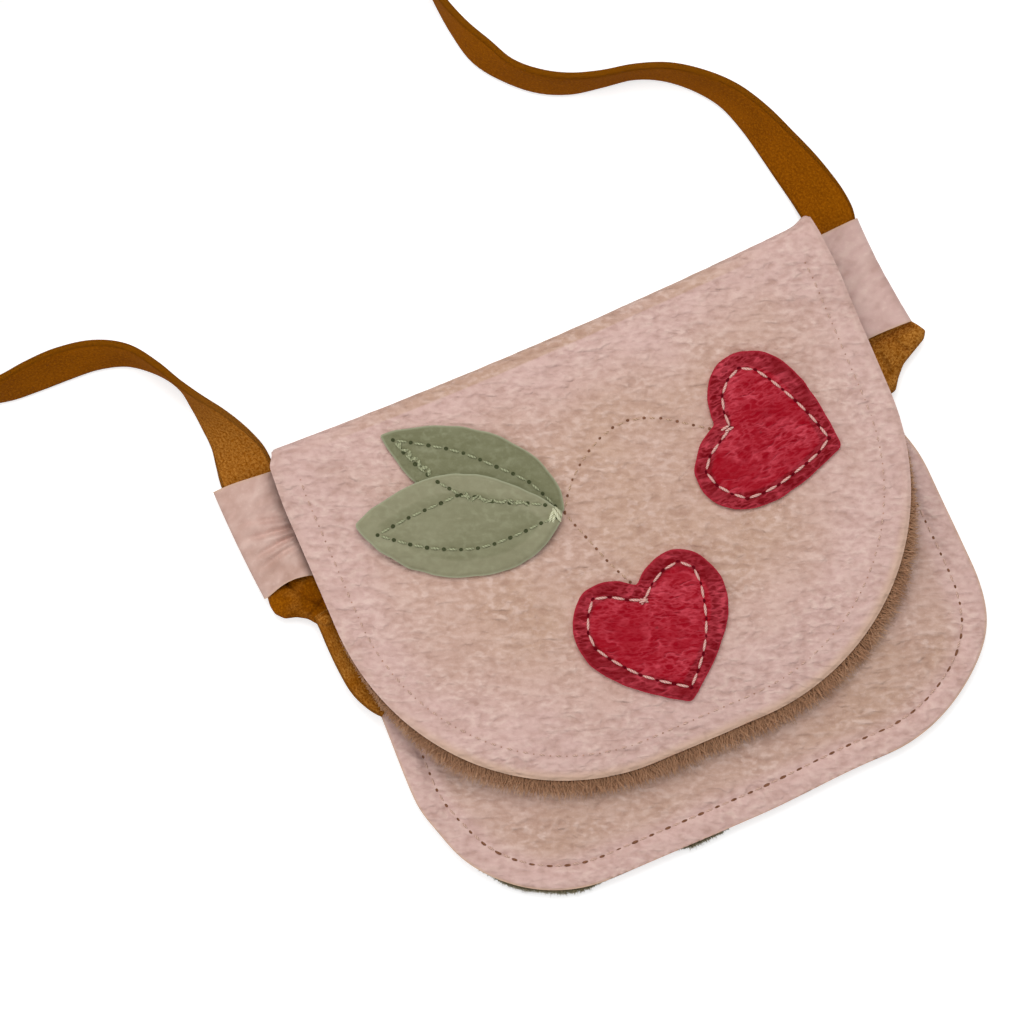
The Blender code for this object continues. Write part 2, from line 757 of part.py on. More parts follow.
def applique(name, outline, place, thickness, middle_share, finish, hinge, lift=None):
    """Cut leather shape on the flap's face, following it at the seat gap, in rings about its middle."""
    x0, drop0, degrees = place
    turn = math.radians(degrees)
    middle = Vector((0, min(p.y for p in outline) * middle_share))
    build = bmesh.new()

    def world(p, rise):
        x = x0 + p.x * math.cos(turn) - p.y * math.sin(turn)
        drop = drop0 - (p.x * math.sin(turn) + p.y * math.cos(turn))
        extra = lift(p) if lift else 0.0
        return (x, fold_y - drop, flap_face(x, drop) + seat_gap + extra + rise)

    def ring(share, rise):
        return [build.verts.new(world(middle + (p - middle) * share, rise)) for p in outline]

    inner_shares = [i / applique_rings for i in range(1, applique_rings + 1)]
    edge_share = 1 - applique_edge / (max(p.x for p in outline) - min(p.x for p in outline)) * 2
    bottom = [ring(share, 0.0) for share in inner_shares]
    rim = [ring(1.0, thickness - applique_edge)]
    top = [ring(share * edge_share, thickness) for share in reversed(inner_shares)]
    rings = bottom + rim + top
    for low, high in zip(rings, rings[1:]):
        for i in range(len(outline)):
            after = (i + 1) % len(outline)
            build.faces.new((low[i], low[after], high[after], high[i]))
    for ring_verts, rise in ((rings[0], 0.0), (rings[-1], thickness)):
        hub = build.verts.new(world(middle, rise))
        for i in range(len(outline)):
            build.faces.new((ring_verts[i], ring_verts[(i + 1) % len(outline)], hub))
    bmesh.ops.recalc_face_normals(build, faces=build.faces)
    mesh = bpy.data.meshes.new(name)
    build.to_mesh(mesh)
    build.free()
    return add_object(name, mesh, finish, panel_sharp_degrees, hinge)


def make_applique(red, green, hinge):
    upper = heart_outline(heart_upper_lobe_rise)
    applique("heart_upper", upper, (heart_upper_x, heart_upper_drop, heart_upper_degrees),
             heart_thickness, heart_middle_share, red, hinge)
    lower = heart_outline(heart_lower_lobe_rise)
    applique("heart_lower", lower, (heart_lower_x, heart_lower_drop, heart_lower_degrees),
             heart_thickness, heart_middle_share, red, hinge)
    upper = leaf_outline(leaf_upper_length, leaf_upper_left_bulge, leaf_upper_right_bulge,
                         leaf_upper_left_shares, leaf_upper_right_shares)
    applique("leaf_upper", upper, (leaf_upper_x, leaf_upper_drop, leaf_upper_degrees),
             leaf_thickness, leaf_middle_share, green, hinge)
    lower = leaf_outline(leaf_lower_length, leaf_lower_left_bulge, leaf_lower_right_bulge,
                         leaf_lower_left_shares, leaf_lower_right_shares)
    lift = leaf_thickness + seat_gap

    def over(p):
        """The lower leaf climbs onto the upper one across its own width."""
        share = (p.x + leaf_lower_left_bulge) / (leaf_lower_left_bulge + leaf_lower_right_bulge)
        return lift * (1 - smooth((share - overlap_share) / (1 - overlap_share)))

    applique("leaf_lower", lower, (leaf_lower_x, leaf_lower_drop, leaf_lower_degrees),
             leaf_thickness, leaf_middle_share, green, hinge, over)


def main():
    clear_scene()
    pink = material("pink leather", (0.62, 0.41, 0.36), 0.55)
    pile = material("brown pile lining", (0.27, 0.16, 0.10), 0.95)
    red = material("red leather", (0.39, 0.01, 0.02), 0.45)
    green = material("green leather", (0.26, 0.30, 0.18), 0.50)
    suede = material("mustard suede", (0.31, 0.11, 0.01), 0.90)
    steel = material("plated steel", (0.75, 0.74, 0.72), 0.30, 1.0)

    hinge = bpy.data.objects.new("flap_hinge", None)
    hinge.location = (0, fold_y, hinge_height)
    bpy.context.scene.collection.objects.link(hinge)

    make_body(pink, pile)
    make_flap(pink, pile, hinge)
    make_snap(steel, hinge)
    for side, label in ((-1, "left"), (1, "right")):
        make_loop(f"loop_{label}", side, pink)
    make_applique(red, green, hinge)
    make_strap(suede)


main()
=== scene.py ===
"""Looks of a child's leather crossbody purse with a flap, appliqued hearts and leaves and a suede strap.

Metres, +Z up out of the purse's front, +Y towards the fold, X along the fold.
A drop is a distance down the purse, from the fold towards the bottom edge.
"""
import json
import math

import bpy
import numpy as np
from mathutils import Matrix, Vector, noise


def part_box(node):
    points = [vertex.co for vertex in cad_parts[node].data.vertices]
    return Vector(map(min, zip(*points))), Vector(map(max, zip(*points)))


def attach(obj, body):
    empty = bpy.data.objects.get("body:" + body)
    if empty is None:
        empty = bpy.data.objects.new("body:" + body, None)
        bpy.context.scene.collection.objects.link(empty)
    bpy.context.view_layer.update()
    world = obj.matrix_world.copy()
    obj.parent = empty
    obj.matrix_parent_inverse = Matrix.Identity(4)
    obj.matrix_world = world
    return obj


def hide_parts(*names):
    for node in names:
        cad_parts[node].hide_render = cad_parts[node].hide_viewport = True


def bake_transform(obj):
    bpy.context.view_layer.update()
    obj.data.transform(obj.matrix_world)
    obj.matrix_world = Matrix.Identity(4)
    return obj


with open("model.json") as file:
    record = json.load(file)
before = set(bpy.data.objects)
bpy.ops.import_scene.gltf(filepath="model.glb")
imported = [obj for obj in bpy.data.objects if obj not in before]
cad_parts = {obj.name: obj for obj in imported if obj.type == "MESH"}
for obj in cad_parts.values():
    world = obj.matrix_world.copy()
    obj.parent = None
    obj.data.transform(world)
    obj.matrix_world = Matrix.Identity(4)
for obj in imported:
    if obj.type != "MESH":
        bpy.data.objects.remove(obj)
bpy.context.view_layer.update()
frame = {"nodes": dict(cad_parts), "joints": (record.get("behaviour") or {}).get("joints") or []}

# Camera straight above the purse, turned so that the fold rises to the right
view_centre = (-0.0200, 0.0245)
view_turn = math.radians(-23.26)
view_width = 0.2210
lens_mm = 135.0
sensor_mm = 36.0

# Main places, from the frame
back_low, back_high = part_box("back_panel")
flap_low, flap_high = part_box("flap")
hinge_place = Vector(frame["joints"][0]["pos_m"])
fold_y = hinge_place.y
hinge_height = hinge_place.z
body_height = back_high.y - back_low.y
flap_height = fold_y - flap_low.y
flap_crest = flap_high.z
margin_top = 0.0051

# Hide, lining and the gap between them
leather_thickness = 0.0012
lining_thickness = 0.0009
seat_gap = 0.0003
lining_offset = leather_thickness + seat_gap
hide_stack = lining_offset + lining_thickness

# Body outline and dome
body_width = 0.131
body_top_width = 0.1216
body_corner_radius = 0.0325
body_swell = 0.0006
body_swell_start = 0.058
body_swell_reach = 0.050
taper_start_drop = 0.031
taper_end_drop = 0.062
mouth_drop = 0.016
seam_inset = 0.0053
seam_groove = 0.00035
seam_groove_width = 0.0008
margin_roll = 0.00025
margin_roll_width = 0.0018
dome_rise = 0.0052
dome_reach = 0.026
back_fold_radius = 0.0060

# How the body lies: leaning to the right, its corners pushed out and its bottom edge climbing
body_lean = 0.0016
body_lean_start = 0.038
body_lean_drop = 0.020
body_climb = 0.0012
body_climb_start = 0.084
body_climb_reach = 0.030
corner_reach = 0.045
right_corner_push = 0.0015
right_corner_drop = 0.099
right_corner_width = 0.010
left_corner_push = 0.00075
left_corner_drop = 0.091
left_corner_width = 0.006

# Flap outline and droop
flap_top_width = 0.1284
flap_flare = 0.0008
flap_flare_drop = 0.015
flap_side_drop = 0.041
flap_end_half_width = 0.012
flap_fold_radius = 0.0033
flap_side_droop = 0.0026
flap_end_droop = 0.0030
flap_droop_ramp = 0.020
flap_end_droop_start = 0.074
flap_wave = 0.00025
fold_corner_inset = 0.0014
fold_corner_drop = 0.0040
fold_bow = 0.0016
fold_bow_drop = 0.016
fold_ear = 0.0011
fold_ear_x = 0.0618
fold_ear_width = 0.0019
flap_right_swell = 0.0005
flap_corner_swell = 0.0011
lid_low = 0.008
lid_ramp = 0.004

# Loops at both sides
loop_top_drop = 0.0040
loop_length = 0.025
loop_leg_start = 0.0560
loop_margin = 0.0005
loop_seam_height = 0.004

# Strap
lace_width = 0.0110
lace_thickness = 0.0016
left_mouth_width = 0.0124
left_mouth_aside = 0.0009
left_mouth_reach = 0.016
right_mouth_width = 0.0098
right_mouth_aside = 0.0003
right_mouth_reach = 0.005
ground_gap = 0.0002
slot_height = 0.0035
hank_runs = 7
hank_run_length = 0.078
hank_pitch = 0.0088
hank_start = (-0.0300, 0.1180)
hank_lift = 0.0013
route_unit = 0.001
route_smoothing = 6
settle_points = 4
row_spacing = 0.0016

# Strap routes from the loops to the hank: place along the fold, place above it, tilt in degrees
left_route = (
    (-69.25, -5.5, 0), (-69.25, -2.3, 3), (-69.4, 1.5, 14), (-70.2, 6.0, 35), (-71.9, 11.5, 56),
    (-73.8, 16.5, 75), (-75.8, 21.5, 87), (-79.0, 26.8, 82), (-83.8, 31.8, 70), (-90.2, 34.6, 60),
    (-97.5, 35.6, 55), (-104.5, 35.7, 58), (-111.5, 35.7, 66), (-119.0, 37.5, 74),
    (-126.5, 42.5, 84), (-131.0, 50.0, 90), (-133.0, 59.0, 90), (-133.2, 69.0, 90),
    (-132.0, 80.0, 90), (-130.0, 92.0, 90), (-128.2, 104.0, 90), (-127.0, 116.0, 90),
    (-126.8, 128.0, 90), (-127.2, 140.0, 90), (-127.4, 151.0, 90), (-125.2, 160.5, 90),
    (-120.0, 167.4, 90), (-113.6, 170.3, 90), (-108.6, 170.8, 90),
)
right_route = (
    (69.25, -5.5, 0), (69.25, -2.3, 0), (69.0, 1.5, 6), (68.2, 6.0, 18), (66.8, 11.5, 30),
    (65.0, 17.5, 43), (62.6, 25.0, 56), (59.4, 31.8, 66), (54.8, 37.3, 74), (49.0, 41.9, 80),
    (42.4, 44.8, 84), (35.2, 46.2, 82), (28.4, 48.0, 76), (22.4, 51.2, 73), (17.2, 56.0, 72),
    (13.4, 62.2, 66), (10.9, 69.2, 76), (9.4, 76.5, 86), (8.8, 84.5, 90), (8.0, 93.0, 90),
    (5.2, 101.4, 90), (-0.2, 108.8, 90), (-7.4, 114.0, 90), (-15.2, 116.8, 90), (-23.0, 117.8, 90),
    (-30.0, 118.0, 90),
)

# The grain of the hide runs along the picture's horizontal
grain_along = np.array((math.cos(view_turn), math.sin(view_turn)))
grain_across = np.array((-math.sin(view_turn), math.cos(view_turn)))


# Shares, lines and noise

def ease(share):
    """Ease from 0 to 1 as a share runs from 0 to 1."""
    return np.sin(np.clip(share, 0.0, 1.0) * math.pi / 2) ** 2


def fade(distance, reach):
    """1 at no distance, easing to 0 at a reach."""
    return 1 - ease(distance / reach)


def bell(offset, width):
    """1 at no offset, falling off to both sides over a width."""
    return np.exp(-(offset / width) ** 2)


def unit(vectors):
    return vectors / np.maximum(np.linalg.norm(vectors, axis=-1, keepdims=True), 1e-12)


def turned(points, degrees):
    """Flat points turned counter-clockwise about the origin."""
    along, up = math.cos(math.radians(degrees)), math.sin(math.radians(degrees))
    x, y = points[:, 0], points[:, 1]
    return np.column_stack((x * along - y * up, x * up + y * along))


def curve_through(points, steps):
    """Smooth curve through points, with a number of steps between each two."""
    given = np.asarray(points, float)
    padded = np.vstack((given[:1], given, given[-1:]))
    made = []
    for p0, p1, p2, p3 in zip(padded, padded[1:], padded[2:], padded[3:]):
        for t in np.arange(steps) / steps:
            made.append((2 * p1 + (p2 - p0) * t + (2 * p0 - 5 * p1 + 4 * p2 - p3) * t ** 2
                         + (3 * p1 - p0 - 3 * p2 + p3) * t ** 3) / 2)
    return np.vstack((made, given[-1:]))


def travelled(line):
    """Distance along a line at each of its points."""
    steps = np.linalg.norm(np.diff(line, axis=0), axis=1)
    return np.concatenate(((0.0,), np.cumsum(steps)))


def evenly(line, spacing):
    """Points along a line, about a spacing apart, from its first to its last."""
    along = travelled(line)
    count = max(int(round(along[-1] / spacing)), 1)
    at = np.linspace(0, along[-1], count + 1)
    return np.column_stack([np.interp(at, along, column) for column in line.T])


def inset(line, distance):
    """A line moved to its own left by a distance."""
    along = unit(np.gradient(line, axis=0))
    return line + np.column_stack((-along[:, 1], along[:, 0])) * distance


def distance_to(flat, line):
    """Distance of flat points to the nearest point of a dense line."""
    best = np.full(flat.shape[:-1], np.inf)
    for point in line:
        best = np.minimum(best, np.hypot(*np.moveaxis(flat - point, -1, 0)))
    return best


def across(halves, columns):
    """Places from -half to +half for each half-width, closer together near both ends."""
    crowd = 0.44 * math.pi
    shares = np.sin(np.linspace(-crowd, crowd, columns)) / math.sin(crowd)
    return np.outer(halves, shares)


def crowding(first, last, count):
    """Values from the first to the last, closer together near the last."""
    return first + (last - first) * np.sin(np.linspace(0, math.pi / 2, count))


def noise_at(*columns):
    """Smooth noise at points given as columns of coordinates, or as single numbers."""
    points = np.column_stack(np.broadcast_arrays(*columns)).tolist()
    return np.array([noise.noise(point) for point in points])


def grain_place(flat):
    """Texture places in metres, along and across the grain, for points of the flat hide."""
    flat = np.asarray(flat)[..., :2].reshape(-1, 2)
    return np.column_stack((flat @ grain_along, flat @ grain_across, np.zeros(len(flat))))


def relief_of(place, scale, stretch, seed):
    """Smooth noise on texture places, drawn out along their grain."""
    return noise_at(place[:, 0] * scale, place[:, 1] * (scale * stretch), seed)


def relief(flat, scale, stretch, seed):
    """Smooth noise on a grid of points of the flat hide, drawn out along its grain."""
    return relief_of(grain_place(flat), scale, stretch, seed).reshape(flat.shape[:-1])


# Meshes

def add_mesh(name, verts, faces, finish, attributes=None, sharp_degrees=60):
    """One piece from arrays of points and of faces, its faces turned outwards."""
    verts = np.asarray(verts, float).reshape(-1, 3)
    corners = verts[np.array([face[:3] for face in faces])]
    volume = np.einsum("ij,ij->i", corners[:, 0], np.cross(corners[:, 1], corners[:, 2])).sum()
    if volume < 0:
        faces = [tuple(reversed(face)) for face in faces]
    mesh = bpy.data.meshes.new(name)
    mesh.from_pydata(verts.tolist(), [], [tuple(int(i) for i in face) for face in faces])
    mesh.materials.append(finish)
    mesh.shade_smooth()
    mesh.set_sharp_from_angle(angle=math.radians(sharp_degrees))
    for label, values in (attributes or {}).items():
        values = np.asarray(values, np.float32)
        kind, field = ("FLOAT_VECTOR", "vector") if values.ndim == 2 else ("FLOAT", "value")
        mesh.attributes.new(label, kind, "POINT").data.foreach_set(field, values.ravel())
    piece = bpy.data.objects.new(name, mesh)
    bpy.context.scene.collection.objects.link(piece)
    return piece


def placed(piece, body, slot, *solids):
    """Ride a piece on a body and hide the solids it stands for; its slot is not used."""
    if solids:
        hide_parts(*solids)
    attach(piece, body)
    return piece


def grid_faces(rows, columns, start=0, closed=False):
    """Faces of a grid of points, row by row; a closed grid joins its last column to its first."""
    i = np.arange(rows - 1)[:, None] * columns
    j = np.arange(columns if closed else columns - 1)[None, :]
    after = (j + 1) % columns
    quads = np.stack((i + j, i + after, i + columns + after, i + columns + j), -1)
    return (quads.reshape(-1, 4) + start).tolist()


def end_faces(rows, sides):
    """The two faces that close a closed grid at its first and last row."""
    return [tuple(range(sides))[::-1], tuple(range((rows - 1) * sides, rows * sides))]


def repeated(faces, count, points):
    """Faces of a small mesh, once for each of a number of copies of its points."""
    starts = (np.arange(count) * points)[:, None, None]
    return (starts + np.array(faces)).reshape(-1, len(faces[0])).tolist()


def lifted(flat, z):
    """Flat points at their heights."""
    return np.concatenate((flat, z[..., None]), -1)


def shell(name, outer, inner, finish, place, rim, tone=0.0, sharp_degrees=60):
    """Closed sheet between two grids of points of the same rows and columns."""
    rows, columns = outer.shape[:2]
    count = rows * columns
    faces = grid_faces(rows, columns)
    faces += [face[::-1] for face in grid_faces(rows, columns, count)]
    ids = np.arange(count).reshape(rows, columns)
    border = np.concatenate((ids[0, :-1], ids[:-1, -1], ids[-1, :0:-1], ids[:0:-1, 0]))
    after = np.roll(border, -1)
    faces += np.stack((after, border, border + count, after + count), -1).tolist()
    verts = np.concatenate((outer.reshape(-1, 3), inner.reshape(-1, 3)))
    rims, tones = (np.broadcast_to(np.ravel(values), count) for values in (rim, tone))
    attributes = {"place": np.tile(place, (2, 1)), "rim": np.tile(rims, 2), "tone": np.tile(tones, 2)}
    return add_mesh(name, verts, faces, finish, attributes, sharp_degrees)


# Materials

def new_finish(name):
    finish = bpy.data.materials.new(name)
    finish.use_nodes = True
    return finish, finish.node_tree


def completed(finish, colour, roughness, specular, normal=None):
    """Join a colour and a bump to a material's shader and set its plain values."""
    tree = finish.node_tree
    shader = tree.nodes["Principled BSDF"]
    tree.links.new(colour, shader.inputs["Base Color"])
    if normal is not None:
        tree.links.new(normal, shader.inputs["Normal"])
    shader.inputs["Roughness"].default_value = roughness
    shader.inputs["Specular IOR Level"].default_value = specular
    return finish


def node(tree, kind, links=None, **settings):
    """A node with its settings; links maps its inputs to values or to other nodes' outputs."""
    made = tree.nodes.new(kind)
    for key, value in settings.items():
        setattr(made, key, value)
    for key, value in (links or {}).items():
        if isinstance(value, bpy.types.NodeSocket):
            tree.links.new(value, made.inputs[key])
        else:
            made.inputs[key].default_value = value
    return made


def linear(colour, gain=1.0):
    """Linear colour of a display colour given in 0 to 255, times a gain."""
    parts = [channel / 255 for channel in colour]
    parts = [p / 12.92 if p < 0.04045 else ((p + 0.055) / 1.055) ** 2.4 for p in parts]
    return tuple(min(p * gain, 1.0) for p in parts) + (1.0,)


def attribute(tree, label, output="Fac"):
    return node(tree, "ShaderNodeAttribute", attribute_name=label).outputs[output]


def calculated(tree, operation, *values):
    return node(tree, "ShaderNodeMath", dict(enumerate(values)), operation=operation).outputs[0]


def vectors(tree, operation, first, second):
    return node(tree, "ShaderNodeVectorMath", {0: first, 1: second}, operation=operation).outputs[0]


def fine_noise(tree, place, scale, detail=3.0, roughness=0.55, distortion=0.0):
    links = {"Vector": place, "Scale": scale, "Detail": detail, "Roughness": roughness,
             "Distortion": distortion}
    return node(tree, "ShaderNodeTexNoise", links).outputs["Fac"]


def ranged(tree, value, low, high, to_low=0.0, to_high=1.0, smooth=False):
    """A value remapped from one range to another and held inside it."""
    links = {"Value": value, "From Min": low, "From Max": high, "To Min": to_low, "To Max": to_high}
    kind = "SMOOTHSTEP" if smooth else "LINEAR"
    return node(tree, "ShaderNodeMapRange", links, interpolation_type=kind).outputs["Result"]


def blended(tree, share, first, second):
    """Mix of two colours; a colour of three numbers is a display colour in 0 to 255."""
    first, second = (linear(c) if isinstance(c, tuple) and len(c) == 3 else c for c in (first, second))
    return node(tree, "ShaderNodeMix", {0: share, 6: first, 7: second}, data_type="RGBA").outputs[2]


def bumped(tree, height, distance, below=None):
    links = {"Height": height, "Distance": distance}
    if below is not None:
        links["Normal"] = below
    return node(tree, "ShaderNodeBump", links).outputs["Normal"]


def summed(tree, *terms):
    """Sum of values, each times its weight."""
    total = 0.0
    for value, weight in terms:
        total = calculated(tree, "MULTIPLY_ADD", value, weight, total)
    return total


def warped(tree, place, scale, reach):
    """Texture places pushed about by smooth noise."""
    drift = node(tree, "ShaderNodeTexNoise", {"Vector": place, "Scale": scale, "Detail": 2.0})
    middle = vectors(tree, "SUBTRACT", drift.outputs["Color"], (0.5, 0.5, 0.5))
    return vectors(tree, "ADD", place, vectors(tree, "MULTIPLY", middle, (reach, reach, reach)))


def wrinkles(tree, place, scale, width):
    """1 along the winding middle lines of a smooth noise, falling off to 0 over a width."""
    level = fine_noise(tree, place, scale, detail=2.0, roughness=0.5)
    off = calculated(tree, "ABSOLUTE", calculated(tree, "SUBTRACT", level, 0.5))
    return ranged(tree, off, 0.0, width, 1.0, 0.0, smooth=True)


def leather(name, base, other, light, dark, edge, scale=300.0, stretch=1.5, contrast=1.0, depth=0.001,
            roughness=0.58, specular=0.16, ridged=False):
    """Milled leather: soft broken wrinkles, long ripples, crinkled patches, fine grain and a paler cut edge.

    Its colour holds painted highlight on the ripples' crests, the crinkles and the grain, and painted shade
    in the ripples' troughs and the crinkles' hollows. A ridged leather has pale ridges of painted highlight
    where a plain one has painted shade in its wrinkles.
    """
    finish, tree = new_finish(name)
    place = attribute(tree, "place", "Vector")
    drawn = vectors(tree, "MULTIPLY", warped(tree, place, 200.0, 0.0012), (1.0 / stretch, 1.0, 1.0))
    rippled = vectors(tree, "MULTIPLY", place, (1.0, 2.7, 1.0))
    patch = fine_noise(tree, place, 30.0, detail=2.0)
    broken = ranged(tree, fine_noise(tree, place, 160.0, detail=2.0), 0.40, 0.60)
    busy = ranged(tree, fine_noise(tree, drawn, 110.0, detail=2.0), 0.40, 0.62, to_low=0.3)
    ripple = fine_noise(tree, rippled, 190.0, detail=1.0, roughness=0.4, distortion=0.6)
    crinkle = fine_noise(tree, drawn, 800.0, detail=1.5, roughness=0.5)
    grain = fine_noise(tree, place, 2600.0, detail=2.0, roughness=0.6)
    fold_width = 0.09 if ridged else 0.15
    fold = calculated(tree, "MULTIPLY", wrinkles(tree, drawn, scale, fold_width), broken)
    small_fold = calculated(tree, "MULTIPLY", wrinkles(tree, drawn, 2.3 * scale, 1.3 * fold_width), busy)
    crinkled = calculated(tree, "MULTIPLY", ranged(tree, crinkle, 0.50, 0.64), busy)
    toned = summed(tree, (attribute(tree, "tone"), 0.55), (patch, 0.9))
    colour = blended(tree, ranged(tree, toned, 0.38, 0.88), base, other)
    plain = 0.4 if ridged else 1.0
    # Painted light: highlight on ripple crests, crinkles, grain and a ridged leather's ridges; shade in
    # ripple troughs, crinkle hollows and a plain leather's wrinkles.
    lit_parts = [(ranged(tree, ripple, 0.46, 0.70), 0.20 * plain), (crinkled, 0.44 * plain),
                 (ranged(tree, grain, 0.54, 0.74), 0.26 * plain)]
    shade_parts = [(ranged(tree, ripple, 0.30, 0.46, 1.0, 0.0), 0.12),
                   (ranged(tree, crinkle, 0.34, 0.48, 1.0, 0.0), 0.16)]
    if ridged:
        lit_parts += [(fold, 0.75), (small_fold, 0.60)]
    else:
        shade_parts += [(fold, 0.14), (small_fold, 0.08)]
    for parts, shade in ((lit_parts, light), (shade_parts, dark)):
        share = summed(tree, *[(value, weight * contrast) for value, weight in parts])
        colour = blended(tree, share, colour, shade)
    colour = blended(tree, attribute(tree, "rim"), colour, edge)
    way = 1.0 if ridged else -1.0
    height = summed(tree, (fold, 0.20 * way), (small_fold, 0.06 * way), (ripple, 0.58), (crinkle, 0.12),
                    (grain, 0.02))
    return completed(finish, colour, roughness, specular, bumped(tree, height, depth))


def suede(name, base, light, dark, pale):
    """Napped suede: fine mottle, broad patches, slightly lighter raw edges that are partly painted
    highlight, and paler stretches that are partly paler nap and partly painted highlight.
    """
    finish, tree = new_finish(name)
    place = attribute(tree, "place", "Vector")
    broad = fine_noise(tree, vectors(tree, "MULTIPLY", place, (0.6, 1.0, 1.0)), 110.0, detail=2.0)
    nap = fine_noise(tree, place, 1900.0, roughness=0.75)
    fleck = fine_noise(tree, place, 1500.0, roughness=0.7)
    # Painted highlight: where the tone is high the nap is painted paler, standing in for light on the lace
    # as well as for paler nap.
    paler_share = calculated(tree, "MULTIPLY", attribute(tree, "tone"), ranged(tree, nap, 0.38, 0.62))
    colour = blended(tree, ranged(tree, broad, 0.34, 0.62, 0.40, 0.0), base, dark)
    # The rim's share of the light colour is partly the raw edges' own colour and partly painted highlight.
    for share, shade in ((ranged(tree, fleck, 0.34, 0.50, 0.40, 0.0), dark),
                         (ranged(tree, nap, 0.46, 0.70, to_high=0.70), light),
                         (ranged(tree, attribute(tree, "rim"), 0.35, 0.9, to_high=0.40), light),
                         (paler_share, pale)):
        colour = blended(tree, share, colour, shade)
    normal = bumped(tree, nap, 0.00014, bumped(tree, fleck, 0.00026))
    return completed(finish, colour, 0.95, 0.04, normal)


def pile(name, root, middle, tip):
    """Short fibres, darker at their roots."""
    finish, tree = new_finish(name)
    along = attribute(tree, "along")
    clump = fine_noise(tree, attribute(tree, "place", "Vector"), 300.0, roughness=0.6)
    share = calculated(tree, "MULTIPLY", ranged(tree, along, 0.55, 1.0), ranged(tree, clump, 0.4, 0.62))
    colour = blended(tree, ranged(tree, along, 0.0, 0.55), root, middle)
    return completed(finish, blended(tree, share, colour, tip), 0.85, 0.15)


def backing(name, base, dark):
    """Woven backing of the pile, mostly hidden by its fibres."""
    finish, tree = new_finish(name)
    fuzz = fine_noise(tree, attribute(tree, "place", "Vector"), 900.0, detail=4.0, roughness=0.7)
    colour = blended(tree, ranged(tree, fuzz, 0.35, 0.65), dark, base)
    return completed(finish, colour, 0.95, 0.1, bumped(tree, fuzz, 0.0005))


def thread(name, base, dark):
    """Twisted sewing thread."""
    finish, tree = new_finish(name)
    links = {"Vector": attribute(tree, "place", "Vector"), "Scale": 900.0, "Distortion": 1.5}
    twist = node(tree, "ShaderNodeTexWave", links, bands_direction="DIAGONAL").outputs["Fac"]
    colour = blended(tree, ranged(tree, twist, 0.2, 0.9), dark, base)
    return completed(finish, colour, 0.75, 0.2, bumped(tree, twist, 0.00008))


def needle_hole(name, base):
    """Shaded inside of a needle hole."""
    finish, tree = new_finish(name)
    # Painted shade, mottled lighter in places.
    shade_mottle = fine_noise(tree, attribute(tree, "place", "Vector"), 1500.0, detail=2.0)
    colour = blended(tree, ranged(tree, shade_mottle, 0.4, 0.7), base, linear(base, gain=1.6))
    return completed(finish, colour, 1.0, 0.0)


def plated_metal(name):
    """Nickel plating with faint scratches."""
    finish, tree = new_finish(name)
    shader = tree.nodes["Principled BSDF"]
    where = node(tree, "ShaderNodeTexCoord").outputs["Object"]
    scratch = fine_noise(tree, where, 900.0, detail=4.0, roughness=0.7)
    dull = (0.15, 0.145, 0.135, 1.0)
    bright = (0.22, 0.215, 0.205, 1.0)
    tone = blended(tree, ranged(tree, scratch, 0.4, 0.6), dull, bright)
    tree.links.new(tone, shader.inputs["Base Color"])
    tree.links.new(ranged(tree, scratch, 0.3, 0.7, 0.34, 0.46), shader.inputs["Roughness"])
    shader.inputs["Metallic"].default_value = 1.0
    return finish


# In each leather the fourth argument is the colour of its painted highlight and the fifth that of its
# painted shade.
pink = leather("pink_leather", (194, 159, 139), (210, 175, 167), (228, 200, 188), (156, 116, 99),
               (206, 172, 148), contrast=1.15)
red = leather("red_leather", (150, 0, 22), (118, 2, 14), (208, 76, 90), (100, 0, 10), (166, 40, 54),
              scale=430.0, stretch=2.4, contrast=0.66, depth=0.0009, roughness=0.50, specular=0.05,
              ridged=True)
green = leather("green_leather", (141, 138, 110), (116, 116, 86), (164, 166, 136), (106, 106, 78),
                (156, 158, 130), scale=190.0, stretch=1.2, contrast=0.50, depth=0.00035, roughness=0.5,
                specular=0.12)
strap_suede = suede("mustard_suede", (140, 77, 1), (178, 106, 12), (98, 48, 0), (192, 132, 60))
brown_pile = pile("brown_pile", (132, 96, 70), (182, 136, 104), (228, 190, 158))
olive_pile = pile("olive_pile", (104, 94, 70), (132, 122, 94), (160, 152, 124))
brown_backing = backing("pile_backing", (156, 118, 94), (118, 86, 66))
cream_thread = thread("cream_thread", (232, 190, 180), (206, 140, 132))
green_thread = thread("pale_green_thread", (172, 174, 140), (140, 144, 112))
knot_thread = thread("pale_knot_thread", (222, 222, 190), (190, 190, 156))
seam_thread = thread("leather_coloured_thread", (214, 182, 166), (190, 154, 138))
beige_thread = thread("beige_thread", (212, 180, 154), (172, 138, 114))
brown_hole = needle_hole("brown_needle_hole", (112, 76, 58))
faint_hole = needle_hole("faint_needle_hole", (160, 122, 106))
red_hole = needle_hole("red_needle_hole", (84, 6, 16))
green_hole = needle_hole("green_needle_hole", (62, 66, 44))


# Camera, floor and light

def make_view():
    camera = bpy.data.cameras.new("camera")
    camera.lens = lens_mm
    camera.sensor_width = sensor_mm
    camera.clip_end = 10.0
    eye = bpy.data.objects.new("camera", camera)
    distance = view_width / 2 / (sensor_mm / 2 / lens_mm)
    eye.location = (*view_centre, flap_crest + distance)
    eye.rotation_euler = (0.0, 0.0, view_turn)
    bpy.context.scene.collection.objects.link(eye)
    bpy.context.scene.camera = eye
    bpy.context.scene.view_settings.view_transform = "Standard"


def seen_ray(tree):
    """1 for camera, glossy and transmission rays, else 0."""
    path = node(tree, "ShaderNodeLightPath").outputs
    both = calculated(tree, "MAXIMUM", path["Is Camera Ray"], path["Is Glossy Ray"])
    return calculated(tree, "MAXIMUM", both, path["Is Transmission Ray"])


